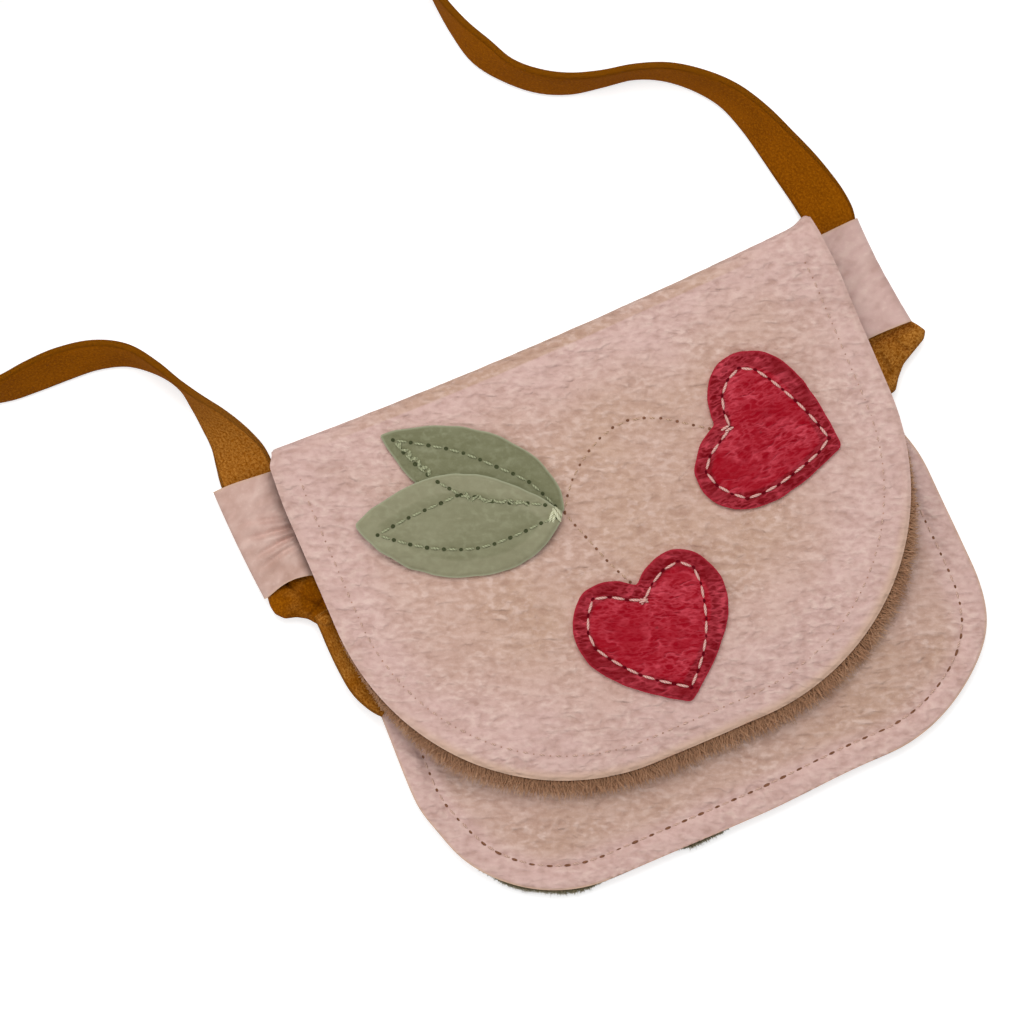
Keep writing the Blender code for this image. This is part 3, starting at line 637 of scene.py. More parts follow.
def make_world(sky_level):
    world = bpy.data.worlds.new("studio")
    world.use_nodes = True
    tree = world.node_tree
    level = ranged(tree, seen_ray(tree), 0.0, 1.0, sky_level, 1.0)
    tree.links.new(level, tree.nodes["Background"].inputs["Strength"])
    tree.nodes["Background"].inputs["Color"].default_value = (1.0, 1.0, 1.0, 1.0)
    bpy.context.scene.world = world


def make_lamp(name, side, forward, height, size, watts):
    """Soft lamp placed by the picture's own right and up, aimed at the purse."""
    data = bpy.data.lights.new(name, "AREA")
    data.size = size
    data.energy = watts
    lamp = bpy.data.objects.new(name, data)
    flat = side * grain_along + forward * grain_across
    lamp.location = (flat[0], flat[1], height)
    lamp.rotation_euler = (-Vector(lamp.location)).to_track_quat("-Z", "Y").to_euler()
    bpy.context.scene.collection.objects.link(lamp)


def make_floor(reach, floor_glow):
    """Pale floor that glows a little for all but the seen rays."""
    finish, tree = new_finish("floor")
    corners = [(-reach, -reach, 0), (reach, -reach, 0), (reach, reach, 0), (-reach, reach, 0)]
    floor = add_mesh("floor", corners, [(0, 1, 2, 3)], finish)
    shader = tree.nodes["Principled BSDF"]
    shader.inputs["Base Color"].default_value = (0.80, 0.80, 0.80, 1.0)
    shader.inputs["Roughness"].default_value = 1.0
    shader.inputs["Specular IOR Level"].default_value = 0.0
    glow = node(tree, "ShaderNodeEmission", {"Color": (1.0, 1.0, 1.0, 1.0)})
    tree.links.new(ranged(tree, seen_ray(tree), 0.0, 1.0, 0.0, floor_glow), glow.inputs["Strength"])
    both = node(tree, "ShaderNodeAddShader", {0: shader.outputs[0], 1: glow.outputs[0]})
    tree.links.new(both.outputs[0], tree.nodes["Material Output"].inputs["Surface"])


make_view()
make_world(sky_level=0.46)
make_floor(reach=1.5, floor_glow=0.52)
make_lamp("key_lamp", side=-0.04, forward=0.50, height=1.10, size=0.60, watts=7.3)
make_lamp("fill_lamp", side=-0.80, forward=-0.35, height=0.70, size=0.90, watts=2.8)


# Strap

def lying_height(tilt):
    """Height of the lace's middle when its lower edge rests on the ground at a tilt."""
    turn = np.radians(tilt)
    return ground_gap + lace_width / 2 * np.sin(turn) + lace_thickness / 2 * np.cos(turn)


def route_line(route):
    """Points and tilts of a strap run, from its loop's slot down to the ground and onto the tie."""
    rows = []
    for i, (x, y, tilt) in enumerate(route):
        settled = ease((i - 1) / settle_points)
        raised = hank_lift * fade(len(route) - 1 - i, settle_points)
        resting = lying_height(tilt) + raised
        height = max(slot_height * (1 - settled) + resting * settled, resting)
        rows.append((x * route_unit, fold_y + y * route_unit, height, tilt))
    return curve_through(rows, route_smoothing)


def hank_line():
    """Points and tilts of the hank: runs side by side, joined by round folds, all on edge."""
    height = hank_lift + lying_height(90)
    fold_steps = 14
    run_steps = 16
    radius = hank_pitch / 2
    rows = []
    for run in range(hank_runs):
        way = -1 if run % 2 == 0 else 1
        y = fold_y + hank_start[1] + run * hank_pitch
        first = hank_start[0] if way < 0 else hank_start[0] - hank_run_length
        for i in range(run_steps):
            rows.append((first + way * hank_run_length * i / run_steps, y, height, 90.0))
        if run < hank_runs - 1:
            for i in range(fold_steps):
                turn = math.pi * i / fold_steps
                rows.append((first + way * (hank_run_length + radius * math.sin(turn)),
                             y + radius * (1 - math.cos(turn)), height, 90.0))
    return np.array(rows)


def ribbon(name, rows, width, seed=0.0, tone=0.0):
    """Suede lace with rounded raw edges swept along points with tilts; widths may vary by row."""
    line = rows[:, :3]
    turn = np.radians(rows[:, 3])[:, None]
    along = unit(np.gradient(line, axis=0))
    side = unit(np.cross(along, (0.0, 0.0, 1.0)))
    up = unit(np.cross(side, along))
    wide = side * np.cos(turn) + up * np.sin(turn)
    thin = up * np.cos(turn) - side * np.sin(turn)
    half_shares = np.array((0.3, 0.6, 0.88, 0.95, 0.985, 1.0))
    shares = np.concatenate((-half_shares[::-1], (0.0,), half_shares))
    round_share = 0.12
    rise = np.sqrt(np.clip(1 - ((np.abs(shares) - 1 + round_share) / round_share).clip(0, 1) ** 2, 0, 1))
    section = np.concatenate((np.column_stack((shares, rise)), np.column_stack((shares, -rise))[-2:0:-1]))
    gone = travelled(line)
    waver = 0.035 * noise_at(gone * 90, seed, 0.0)
    half = np.broadcast_to(np.asarray(width, float) / 2, len(rows)) * (1 + waver)
    verts = (line[:, None, :] + wide[:, None, :] * (half[:, None] * section[:, 0])[..., None]
             + thin[:, None, :] * (lace_thickness / 2 * section[:, 1])[None, :, None])
    count, sides = len(rows), len(section)
    faces = grid_faces(count, sides, closed=True) + end_faces(count, sides)
    place = np.stack(np.broadcast_arrays(gone[:, None], section[:, 0] * lace_width / 2,
                                         section[:, 1] * 0.5 + seed), -1).reshape(-1, 3)
    rim = np.tile(np.abs(section[:, 0]) ** 8, count)
    paler_share = np.repeat(np.broadcast_to(tone, count), sides)
    return add_mesh(name, verts, faces, strap_suede, {"place": place, "rim": rim, "tone": paler_share})


def make_strap():
    left = route_line(left_route)
    right = route_line(right_route)
    left[:, 0] -= left_mouth_aside * fade(travelled(left[:, :3]), left_mouth_reach)
    right[:, 0] -= right_mouth_aside * fade(travelled(right[:, :3]), right_mouth_reach)
    right[:, 3] = 180.0 - right[:, 3]
    rows = np.vstack((left[:-1], hank_line()[::-1], right[-2::-1]))
    rows = evenly(rows * (1, 1, 1, route_unit), row_spacing) * (1, 1, 1, 1 / route_unit)
    gone = travelled(rows[:, :3])
    length = gone[-1]
    near_left = fade(gone, left_mouth_reach)
    near_right = fade(length - gone, right_mouth_reach)
    width = (lace_width + (left_mouth_width - lace_width) * near_left
             + (right_mouth_width - lace_width) * near_right)
    # Painted highlight: the lace is painted paler along its first stretch from the left loop, and a little
    # at the right loop.
    paler_share = 0.65 * fade(gone - 0.010, 0.025) + 0.10 * near_right
    strap = placed(ribbon("strap", rows, width, tone=paler_share), "pouch", "suede",
                   "strap_left_run", "strap_right_run", "strap_hank")
    tie = make_tie()


def make_tie():
    """Suede band round the middle of the hank."""
    low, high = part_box("hank_tie")
    thickness = 0.0009
    corner = 0.0016
    corner_steps = 6
    bevel = 0.0003
    middle = np.array((low.y + high.y, low.z + high.z)) / 2
    half = np.array((high.y - low.y, high.z - low.z)) / 2

    def round_section(inset_by):
        ring = []
        for quarter in range(4):
            side = math.pi * (quarter / 2 + 0.25)
            centre = middle + (half - corner) * np.sign((math.cos(side), math.sin(side)))
            for i in range(corner_steps + 1):
                turn = math.pi / 2 * (quarter + i / corner_steps)
                ring.append(centre + (corner - inset_by) * np.array((math.cos(turn), math.sin(turn))))
        return np.array(ring)

    outer, inner = round_section(0.0), round_section(thickness)
    bevelled = outer - unit(outer - middle) * bevel
    xs = (low.x, low.x + bevel, high.x - bevel, high.x)
    sections = (bevelled, outer, outer, bevelled, inner, inner, inner, inner)
    verts = np.vstack([np.insert(section, 0, x, axis=1) for x, section in zip(xs + xs[::-1], sections)])
    sides = len(outer)
    once_round = grid_faces(len(sections) + 1, sides, closed=True)
    faces = [[index % len(verts) for index in face] for face in once_round]
    place = np.column_stack((verts[:, 1] + verts[:, 2], verts[:, 0], verts[:, 2]))
    rim = np.repeat((1.0, 0.0, 0.0, 1.0, 1.0, 0.0, 0.0, 1.0), sides)
    tie = add_mesh("hank_band", verts, faces, strap_suede,
                   {"place": place, "rim": rim, "tone": np.zeros(len(rim))})
    return placed(tie, "pouch", "suede", "hank_tie")


make_strap()


# Outlines and heights of the purse

def body_half_width(drop):
    """Half-width of a body panel: straight at the loops, tapering out, with round bottom corners."""
    taper = ease((drop - taper_start_drop) / (taper_end_drop - taper_start_drop))
    half = (body_top_width + (body_width - body_top_width) * taper) / 2
    swelling = np.clip((drop - body_swell_start) / body_swell_reach, 0, 1)
    half = half + body_swell * np.sin(math.pi * swelling) ** 2
    past = np.clip(drop - (body_height - body_corner_radius), 0, body_corner_radius)
    return half - (body_corner_radius - np.sqrt(body_corner_radius ** 2 - past ** 2))


def seam_distance(x, drop):
    """How far a point lies inside the seam that joins the panels round three sides."""
    half = body_half_width(np.minimum(drop, body_height - body_corner_radius)) - seam_inset
    radius = body_corner_radius - seam_inset
    seam_drop = body_height - seam_inset
    past_side = np.abs(x) - (half - radius)
    past_end = drop - (seam_drop - radius)
    corner = radius - np.hypot(past_side, past_end)
    straight = np.minimum(half - np.abs(x), seam_drop - drop)
    return np.where((past_side > 0) & (past_end > 0), corner, straight)


def front_height(x, drop):
    """Height of the front's outer face: a flat sewn margin, a stitched groove and the pocket's dome."""
    inside = seam_distance(x, drop)
    groove = seam_groove * bell(inside, seam_groove_width)
    roll = margin_roll * bell(inside + seam_inset * 0.5, margin_roll_width)
    return margin_top + dome_rise * ease(inside / dome_reach) - groove + roll


def flap_half_width(drop):
    """Half-width of the flap: straight sides, then one long curve round to the bottom edge."""
    half = flap_top_width / 2 + flap_flare * ease(drop / flap_flare_drop)
    half = half - fold_corner_inset * fade(drop, fold_corner_drop)
    past = np.clip((drop - flap_side_drop) / (flap_height - flap_side_drop), 0, 1)
    return flap_end_half_width + (half - flap_end_half_width) * np.sqrt(1 - past ** 2)


def flap_top(x, drop):
    """Height of the flap's outer face, with its droop and gentle waves."""
    ramp = ease((drop - flap_fold_radius) / flap_droop_ramp)
    side = flap_side_droop * (np.abs(x) / (flap_top_width / 2 + flap_flare)) ** 3
    end_share = (drop - flap_end_droop_start) / (flap_height - flap_end_droop_start)
    end = flap_end_droop * ease(end_share / 2) * 2
    flat = np.stack(np.broadcast_arrays(x, fold_y - drop), -1)
    wave = flap_wave * relief(flat, scale=38.0, stretch=1.0, seed=3.0)
    return flap_crest - end + (wave - side) * ramp


def outline(half_width, first, last):
    """Dense outline from the left side's first drop round the end to the right side's first drop."""
    drops = crowding(first, last, 260)
    left = np.column_stack((-half_width(drops), fold_y - drops))
    right = left[::-1] * (-1, 1)
    bottom = np.linspace(left[-1], right[0], 40)[1:-1]
    return np.vstack((left, bottom, right))


def settle(piece, below=1.0):
    """Let a body piece lie as the real one does: leaning to the right, its bottom edge climbing there."""
    verts = np.empty(3 * len(piece.data.vertices))
    piece.data.vertices.foreach_get("co", verts)
    x, y, z = verts.reshape(-1, 3).T
    drop = fold_y - y
    lean = (body_lean * ease((drop - body_lean_start) / body_lean_drop)
            + right_corner_push * ease(x / corner_reach) * bell(drop - right_corner_drop, right_corner_width)
            + left_corner_push * ease(-x / corner_reach) * bell(drop - left_corner_drop, left_corner_width))
    climb = (body_climb * ease(x / body_climb_reach)
             * ease((drop - body_climb_start) / (body_height - body_climb_start)))
    low = z < below
    x += lean * low
    y += climb * low
    piece.data.vertices.foreach_set("co", verts)
    piece.data.update()


flap_outline = outline(flap_half_width, 0.0, flap_height)
body_outline = outline(body_half_width, 0.0, body_height)


# Hide: back, fold and flap in one piece

def hide_profile(back_rows=70, flap_rows=130):
    """Rows of the hide from the bottom of the back, up round the fold and out to the flap's end.

    Each row holds y, z, the outward normal's y and z, half-width, drop and the place down the flat hide;
    a row of the flap has a drop of 0 or more and takes its height from flap_top.
    """
    arc_steps = 10
    wall_steps = 18
    side_rows = flap_rows * 2 // 5
    wall = hinge_height - back_fold_radius
    low_half = body_top_width / 2
    top_half = flap_top_width / 2 - fold_corner_inset
    rows = []
    for drop in crowding(back_fold_radius, body_height, back_rows)[::-1]:
        rows.append((fold_y - drop, 0.0, 0.0, -1.0, body_half_width(drop), -1.0))
    for turn in np.linspace(0, math.pi / 2, arc_steps + 1)[1:]:
        out, down = math.sin(turn), math.cos(turn)
        rows.append((fold_y - back_fold_radius * (1 - out), back_fold_radius * (1 - down), out, -down,
                     low_half, -1.0))
    for share in np.linspace(0, 1, wall_steps + 1)[1:]:
        rows.append((fold_y, back_fold_radius + wall * share, 1.0, 0.0,
                     low_half + (top_half - low_half) * ease(share), -1.0))
    for turn in np.linspace(0, math.pi / 2, arc_steps + 1)[1:-1]:
        drop = flap_fold_radius * (1 - math.cos(turn))
        rows.append((fold_y - drop, hinge_height + flap_fold_radius * math.sin(turn),
                     math.cos(turn), math.sin(turn), flap_half_width(drop), -1.0))
    for drop in (*np.linspace(flap_fold_radius, flap_side_drop, side_rows, endpoint=False),
                 *crowding(flap_side_drop, flap_height, flap_rows - side_rows)):
        rows.append((fold_y - drop, flap_crest, 0.0, 1.0, flap_half_width(drop), drop))
    rows = np.array(rows)
    gone = travelled(rows[:, :2])
    return np.column_stack((rows, gone[-1] - gone + fold_y - flap_height))


def sheet_points(profile, offset, columns, roughness=0.0, edge_round=0.0):
    """Grid of points of the hide or its lining at an offset inside the outer face, flat places and rim."""
    y, z, normal_y, normal_z, half, drop, flat_y = profile.T[:, :, None]
    x = across(profile[:, 4], columns)
    flat = np.stack(np.broadcast_arrays(x, flat_y), -1)
    seen = np.stack(np.broadcast_arrays(x, y), -1)
    edge = np.minimum.reduce((distance_to(seen, flap_outline) + (drop < 0),
                              distance_to(seen, body_outline) + (z > loop_seam_height),
                              half - np.abs(x)))
    z = np.where(drop >= 0, flap_top(x, np.maximum(drop, flap_fold_radius)), z)
    smooth_margin = 0.0015
    round_margin = 0.0009
    bumps = (relief(flat, scale=210.0, stretch=2.6, seed=7.0)
             + 0.6 * relief(flat, scale=430.0, stretch=2.2, seed=9.0))
    off_ground = 1.2 * (normal_z < -0.5)
    lift = roughness * (bumps * ease(edge / smooth_margin) - off_ground)
    lift = lift - edge_round * fade(edge, round_margin) - offset
    from_fold = fold_y - y
    at_corner = fade(from_fold, fold_corner_drop)
    on_lid = ease((z - lid_low) / lid_ramp)
    bow = fold_bow * (1 - (x / half) ** 2) * fade(from_fold, fold_bow_drop)
    ear = fold_ear * bell(x - fold_ear_x, fold_ear_width) * at_corner
    swell = (flap_right_swell + flap_corner_swell * at_corner) * (x / half).clip(0, 1) ** 6
    y = y - bow + ear * on_lid
    points = np.stack((x + swell * on_lid, y + normal_y * lift, z + normal_z * lift), -1)
    return points, flat, edge


def make_hide():
    profile = hide_profile()
    columns = 150
    outer, flat, edge = sheet_points(profile, 0.0, columns, roughness=0.00010, edge_round=0.00042)
    inner = sheet_points(profile, leather_thickness, columns, edge_round=-0.0001)[0]
    drop = profile[:, 5:6]
    pale_edge = 0.0028
    pale_start = 0.056
    pale_ramp = 0.022
    pink_lit_margin = 0.034
    pink_lit_fold = 0.026
    rim = fade(edge, pale_edge) * (0.10 + 0.80 * ease((drop - pale_start) / pale_ramp))
    # Painted highlight and shade, partly the hide's own tone: the colour leans pinker and lighter near the
    # edges and the fold, and stays tan and darker in the middle.
    tone = np.maximum(fade(edge, pink_lit_margin), fade(np.abs(drop), pink_lit_fold))
    hide = shell("leather_back_and_flap", outer, inner, pink, grain_place(flat), rim, tone)
    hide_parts("back_panel", "flap")
    settle(hide, below=0.005)
    blend_over_hinge(hide)


def blend_over_hinge(piece):
    """Bake a piece's placement into its points."""
    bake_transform(piece)


make_hide()


# Front

def make_front():
    drops = crowding(mouth_drop, body_height, 120)
    x = across(body_half_width(drops), 150)
    drop = np.broadcast_to(drops[:, None], x.shape)
    flat = np.stack((x, fold_y - drop), -1)
    edge = np.minimum(distance_to(flat, body_outline), drop - mouth_drop)
    roughness = 0.00008
    smooth_margin = 0.0015
    edge_round = 0.0003
    round_margin = 0.0007
    pink_lit_start = 0.002
    pink_lit_reach = 0.007
    cut_elsewhere = 0.31
    bumps = roughness * relief(flat, scale=210.0, stretch=2.6, seed=17.0) * ease(edge / smooth_margin)
    at_edge = fade(edge, round_margin)
    z = front_height(x, drop)
    outer = lifted(flat, z + bumps - edge_round * at_edge)
    inner = lifted(flat, z - leather_thickness)
    # Painted highlight and shade, partly the hide's own tone: pinker and lighter on the sewn margin, tan and
    # darker inside it, under the flap.
    tone = fade(seam_distance(x, drop) + pink_lit_start, pink_lit_reach)
    front = shell("leather_front", outer, inner, pink, grain_place(flat + cut_elsewhere), at_edge, tone)
    settle(placed(front, "pouch", "pink_leather", "front_panel"))


make_front()


# Linings

def beside_loops(drop):
    return (drop > loop_top_drop - loop_margin) & (drop < loop_top_drop + loop_length + loop_margin)


def make_lining(name, profile, columns, edge_inset, raised=0.0):
    """Backing cloth of the pile, a little inside the hide's edges, raised towards the leather."""
    rows = profile.copy()
    rows[:, 4] -= edge_inset
    at_loop = (rows[:, 5] < 0) & beside_loops(fold_y - rows[:, 0]) & (rows[:, 1] < loop_seam_height)
    rows[at_loop, 4] = loop_leg_start - loop_margin
    first, flat = sheet_points(rows, lining_offset - raised, columns)[:2]
    second = sheet_points(rows, hide_stack - raised, columns)[0]
    return shell(name, first, second, brown_backing, grain_place(flat), rim=0.0)


def make_linings():
    profile = hide_profile(back_rows=26, flap_rows=44)
    y, z, drop = profile[:, 0], profile[:, 1], profile[:, 5]
    end_inset = 0.0008
    back = profile[(drop < 0) & (z < hinge_height - 0.0012) & (y > back_low.y + end_inset)]
    flap = profile[(drop >= 0) & (y > flap_low.y + end_inset)]
    near = profile[(z > hinge_height - 0.0024) & (drop < 0.008)]
    cloth = make_lining("back_lining_cloth", back, 40, end_inset)
    settle(placed(cloth, "pouch", "pile_lining", "back_lining"))
    cloth = make_lining("flap_lining_cloth", flap, 60, end_inset)
    placed(cloth, "lid", "pile_lining", "flap_lining")
    bridge = make_lining("fold_lining_cloth", near, 40, end_inset, raised=0.0002)
    blend_over_hinge(bridge)
    drops = np.linspace(mouth_drop, body_height - end_inset, 40)
    halves = np.where(beside_loops(drops), loop_leg_start - loop_margin, body_half_width(drops) - end_inset)
    x = across(halves, 40)
    drop = np.broadcast_to(drops[:, None], x.shape)
    flat = np.stack((x, fold_y - drop), -1)
    upper = front_height(x, drop) - leather_thickness - seat_gap
    cloth = shell("front_lining_cloth", lifted(flat, upper), lifted(flat, upper - lining_thickness),
                  brown_backing, grain_place(flat), rim=0.0)
    settle(placed(cloth, "pouch", "pile_lining", "front_lining"))


make_linings()


# Pile fibres

dice = np.random.default_rng(11)


def fibres(name, roots, ways, lengths, body, radius, finish=brown_pile):
    """Thin tapering fibres, each bending a little on its way from its root to its tip."""
    count = len(roots)
    ways = unit(ways)
    bend = unit(np.cross(ways, dice.normal(size=(count, 3)))) * dice.uniform(0.1, 0.55, (count, 1))
    sides = 3
    shares = np.array((0.0, 0.4, 0.75))
    first = unit(np.cross(ways, (0.31, 0.22, 0.92)))
    second = np.cross(ways, first)
    rings = []
    for share in shares:
        centre = roots + (ways * share + bend * share ** 2) * lengths[:, None]
        for turn in np.arange(sides) * 2 * math.pi / sides:
            spread = first * math.cos(turn) + second * math.sin(turn)
            rings.append(centre + spread * radius * (1.15 - share))
    rings.append(roots + (ways + bend) * lengths[:, None])
    points = len(rings)
    top = (len(shares) - 1) * sides
    tips = [(top + k, top + (k + 1) % sides, points - 1) for k in range(sides)]
    faces = []
    for cell in (grid_faces(len(shares), sides, closed=True), tips, [(2, 1, 0)]):
        faces += repeated(cell, count, points)
    along = np.tile(np.append(np.repeat(shares, sides), 1.0), count)
    place = np.repeat(np.column_stack((roots[:, :2], np.zeros(count))), points, axis=0)
    piece = add_mesh(name, np.stack(rings, 1), faces, finish, {"along": along, "place": place},
                     sharp_degrees=180)
    return placed(piece, body, "pile_lining")


def directions(line):
    """Flat directions outwards from an outline and beside that, at each of its points."""
    outward = line - inset(line, 1.0)
    return outward, np.column_stack((-outward[:, 1], outward[:, 0]))


def edge_pile():
    """Dense fibres that stand out past the flap's edge, longest round its bottom curve."""
    first_drop = 0.044
    spacing = 0.00030
    layers = 14
    side_length = 0.0005
    end_growth = 0.0040
    growth_drop = 0.046
    growth_reach = 0.036
    line = evenly(outline(flap_half_width, first_drop, flap_height), spacing)
    outward, beside = directions(line)
    longest = side_length + end_growth * ease((fold_y - line[:, 1] - growth_drop) / growth_reach)
    roots, ways, lengths = [], [], []
    for layer in range(layers):
        back = dice.uniform(-0.0001, 0.0006, (len(line), 1))
        at = line - outward * back + dice.normal(0, 0.0001, line.shape)
        depth = leather_thickness * 0.55 + lining_thickness * dice.uniform(0.0, 1.8, len(line))
        roots.append(lifted(at, flap_top(at[:, 0], fold_y - at[:, 1]) - depth))
        sideways = beside * dice.normal(0, 0.40, (len(line), 1))
        ways.append(lifted(outward + sideways, dice.uniform(-0.75, 0.0, len(line))))
        lengths.append(longest * dice.uniform(0.62, 1.15, len(line)))
    fibres("flap_edge_pile", np.vstack(roots), np.vstack(ways), np.concatenate(lengths), "lid",
           radius=0.00013)


def scattered(spacing, half_width, first, last, margin):
    """Jittered places inside an outline, as x and drop."""
    widest = 0.07
    grid = np.mgrid[-widest:widest:spacing, first:last:spacing].reshape(2, -1).T
    grid = grid + dice.uniform(-0.5, 0.5, grid.shape) * spacing
    x, drop = grid.T
    return grid[(np.abs(x) < half_width(drop) - margin) & (drop > first) & (drop < last - margin)]


def covering_pile(name, places, z, way, body):
    """Fibres over a face of lining at its heights; way is 1 upwards and -1 downwards."""
    count = len(places)
    roots = np.column_stack(np.broadcast_arrays(places[:, 0], fold_y - places[:, 1], z))
    lean = dice.normal(0, 0.55, (count, 2)) + (0.0, -0.45)
    pile_length = 0.0019
    lengths = pile_length * dice.uniform(0.7, 1.2, count)
    fibres(name, roots, lifted(lean, np.full(count, way)), lengths, body, radius=0.00011)


def make_pile():
    edge_pile()
    snap_low, snap_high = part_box("snap_cap")
    snap_middle = (snap_low + snap_high) / 2
    under = scattered(0.00105, flap_half_width, 0.006, flap_height, margin=0.0016)
    from_snap = np.hypot(under[:, 0] - snap_middle.x, fold_y - under[:, 1] - snap_middle.y)
    snap_clearance = 0.0084
    root_depth = 0.0002
    under = under[from_snap > snap_clearance]
    covering_pile("flap_pile", under, flap_top(*under.T) - hide_stack + root_depth, -1, "lid")
    mouth = scattered(0.0011, body_half_width, 0.0065, 0.032, margin=0.0075)
    covering_pile("mouth_pile", mouth, hide_stack - root_depth, 1, "pouch")
    body_fuzz()


def body_fuzz():
    """Dark fibres that peep out under the bottom edge, in two stretches of it."""
    first_drop = 0.092
    spacing = 0.00022
    layers = 22
    root_inset = 0.0007
    thinnest = 0.04
    line = evenly(outline(body_half_width, first_drop, body_height), spacing)
    outward, beside = directions(line)
    x, y = line.T
    thick = 0.0
    for share, first, first_ramp, last, last_ramp in ((0.8, -0.0600, 0.008, -0.0330, 0.009),
                                                      (0.6, -0.0190, 0.006, -0.0045, 0.004)):
        thick = thick + share * ease((x - first) / first_ramp) * ease((last - x) / last_ramp)
    thick = thick * (1.0 + 0.5 * noise_at(x * 160, y * 160, 4.0))
    line, outward, beside, thick = (values[thick > thinnest] for values in (line, outward, beside, thick))
    roots, ways, lengths = [], [], []
    for layer in range(layers):
        z = margin_top - leather_thickness * 0.9 - dice.uniform(0.0, 0.0024, len(line))
        roots.append(lifted(line - outward * root_inset + dice.normal(0, 0.0002, line.shape), z))
        sideways = beside * dice.normal(0, 0.9, (len(line), 1))
        ways.append(lifted(outward + sideways, dice.normal(-0.1, 0.25, len(line))))
        lengths.append(0.0006 + 0.0020 * thick * dice.uniform(0.6, 1.0, len(line)))
    settle(fibres("body_edge_pile", np.vstack(roots), np.vstack(ways), np.concatenate(lengths), "pouch",
                  radius=0.00014, finish=olive_pile))


make_pile()


# Applique

heart_half = 0.0172
heart_depth = 0.0277
heart_thickness = 0.0013
leaf_thickness = 0.0012
leaf_upper_length = 0.0433
leaf_lower_length = 0.0450
applique_gap = 0.00005
stitch_sink = 0.00026

# Place along the fold, drop and turn in degrees of each applique
heart_places = {"upper": (0.0276, 0.0329, 57.3), "lower": (-0.0016, 0.0582, 2.1)}
leaf_places = {"upper": (-0.0095, 0.0372, -135.5), "lower": (-0.0099, 0.0370, -109.4)}


def cubic(p0, p1, p2, p3, steps):
    """Points of a cubic curve, without its last point."""
    t = (np.arange(steps) / steps)[:, None]
    p0, p1, p2, p3 = (np.asarray(p, float) for p in (p0, p1, p2, p3))
    return p0 * (1 - t) ** 3 + p1 * 3 * t * (1 - t) ** 2 + p2 * 3 * t ** 2 * (1 - t) + p3 * t ** 3


def heart_outline(half, depth, lobe_rise):
    """Heart with its cleft at the origin and its tip down, counter-clockwise from the tip."""
    tip, widest, crest = (0, -depth), (half, -0.25 * depth), (0.54 * half, lobe_rise)
    right = np.vstack((
        cubic(tip, (0.55 * half, -0.76 * depth), (half, -0.52 * depth), widest, 36),
        cubic(widest, (half, 0), (0.72 * half, lobe_rise), crest, 18),
        cubic(crest, (0.23 * half, lobe_rise), (0.13 * half, 0.55 * lobe_rise), (0, 0), 18)))
    left = right[:0:-1] * (-1, 1)
    return np.vstack((right, ((0, 0),), left))


def leaf_side(length, bulge, shares):
    """One side of a leaf from its base at the origin to its tip down; a bulge to the left is negative."""
    reach = bulge * 4 / 3
    return cubic((0, 0), (reach, -shares[0] * length), (reach, -shares[1] * length), (0, -length), 60)


def leaf_outline(length, bulges, left_shares, right_shares):
    """Leaf with its base at the origin and its tip down, counter-clockwise."""
    left = leaf_side(length, -bulges[0], left_shares)
    right = leaf_side(length, bulges[1], right_shares)
    return np.vstack((left, ((0, -length),), right[:0:-1]))


def softened(line, reach, spacing=0.0004):
    """A closed outline with its corners rounded over a reach."""
    dense = evenly(np.vstack((line, line[:1])), spacing)[:-1]
    spread = max(int(round(reach / spacing)), 1)
    weights = np.hanning(2 * spread + 3)[1:-1]
    padded = np.vstack((dense[-spread:], dense, dense[:spread]))
    return np.column_stack([np.convolve(column, weights / weights.sum(), "valid") for column in padded.T])


def uneven(line, reach, scale, seed):
    """A closed outline with the small unevenness of a cut by hand."""
    waver = noise_at(line[:, 0] * scale, line[:, 1] * scale, seed)
    ahead = np.roll(line, -1, axis=0) - np.roll(line, 1, axis=0)
    return line + unit(np.column_stack((ahead[:, 1], -ahead[:, 0]))) * waver[:, None] * reach


def on_flap(local, place):
    """Place along the fold and drop of an applique's own points."""
    right, up = turned(local, place[2]).T
    return place[0] + right, place[1] - up


def own_points(x, drop, place):
    """An applique's own points for places along the fold and drops."""
    return turned(np.column_stack((x - place[0], place[1] - drop)), -place[2])


def turned_grain(flat, degrees):
    """Texture places whose grain is turned against the hide's."""
    place = turned(grain_place(flat), -degrees)
    return np.column_stack((place, np.zeros(len(place))))


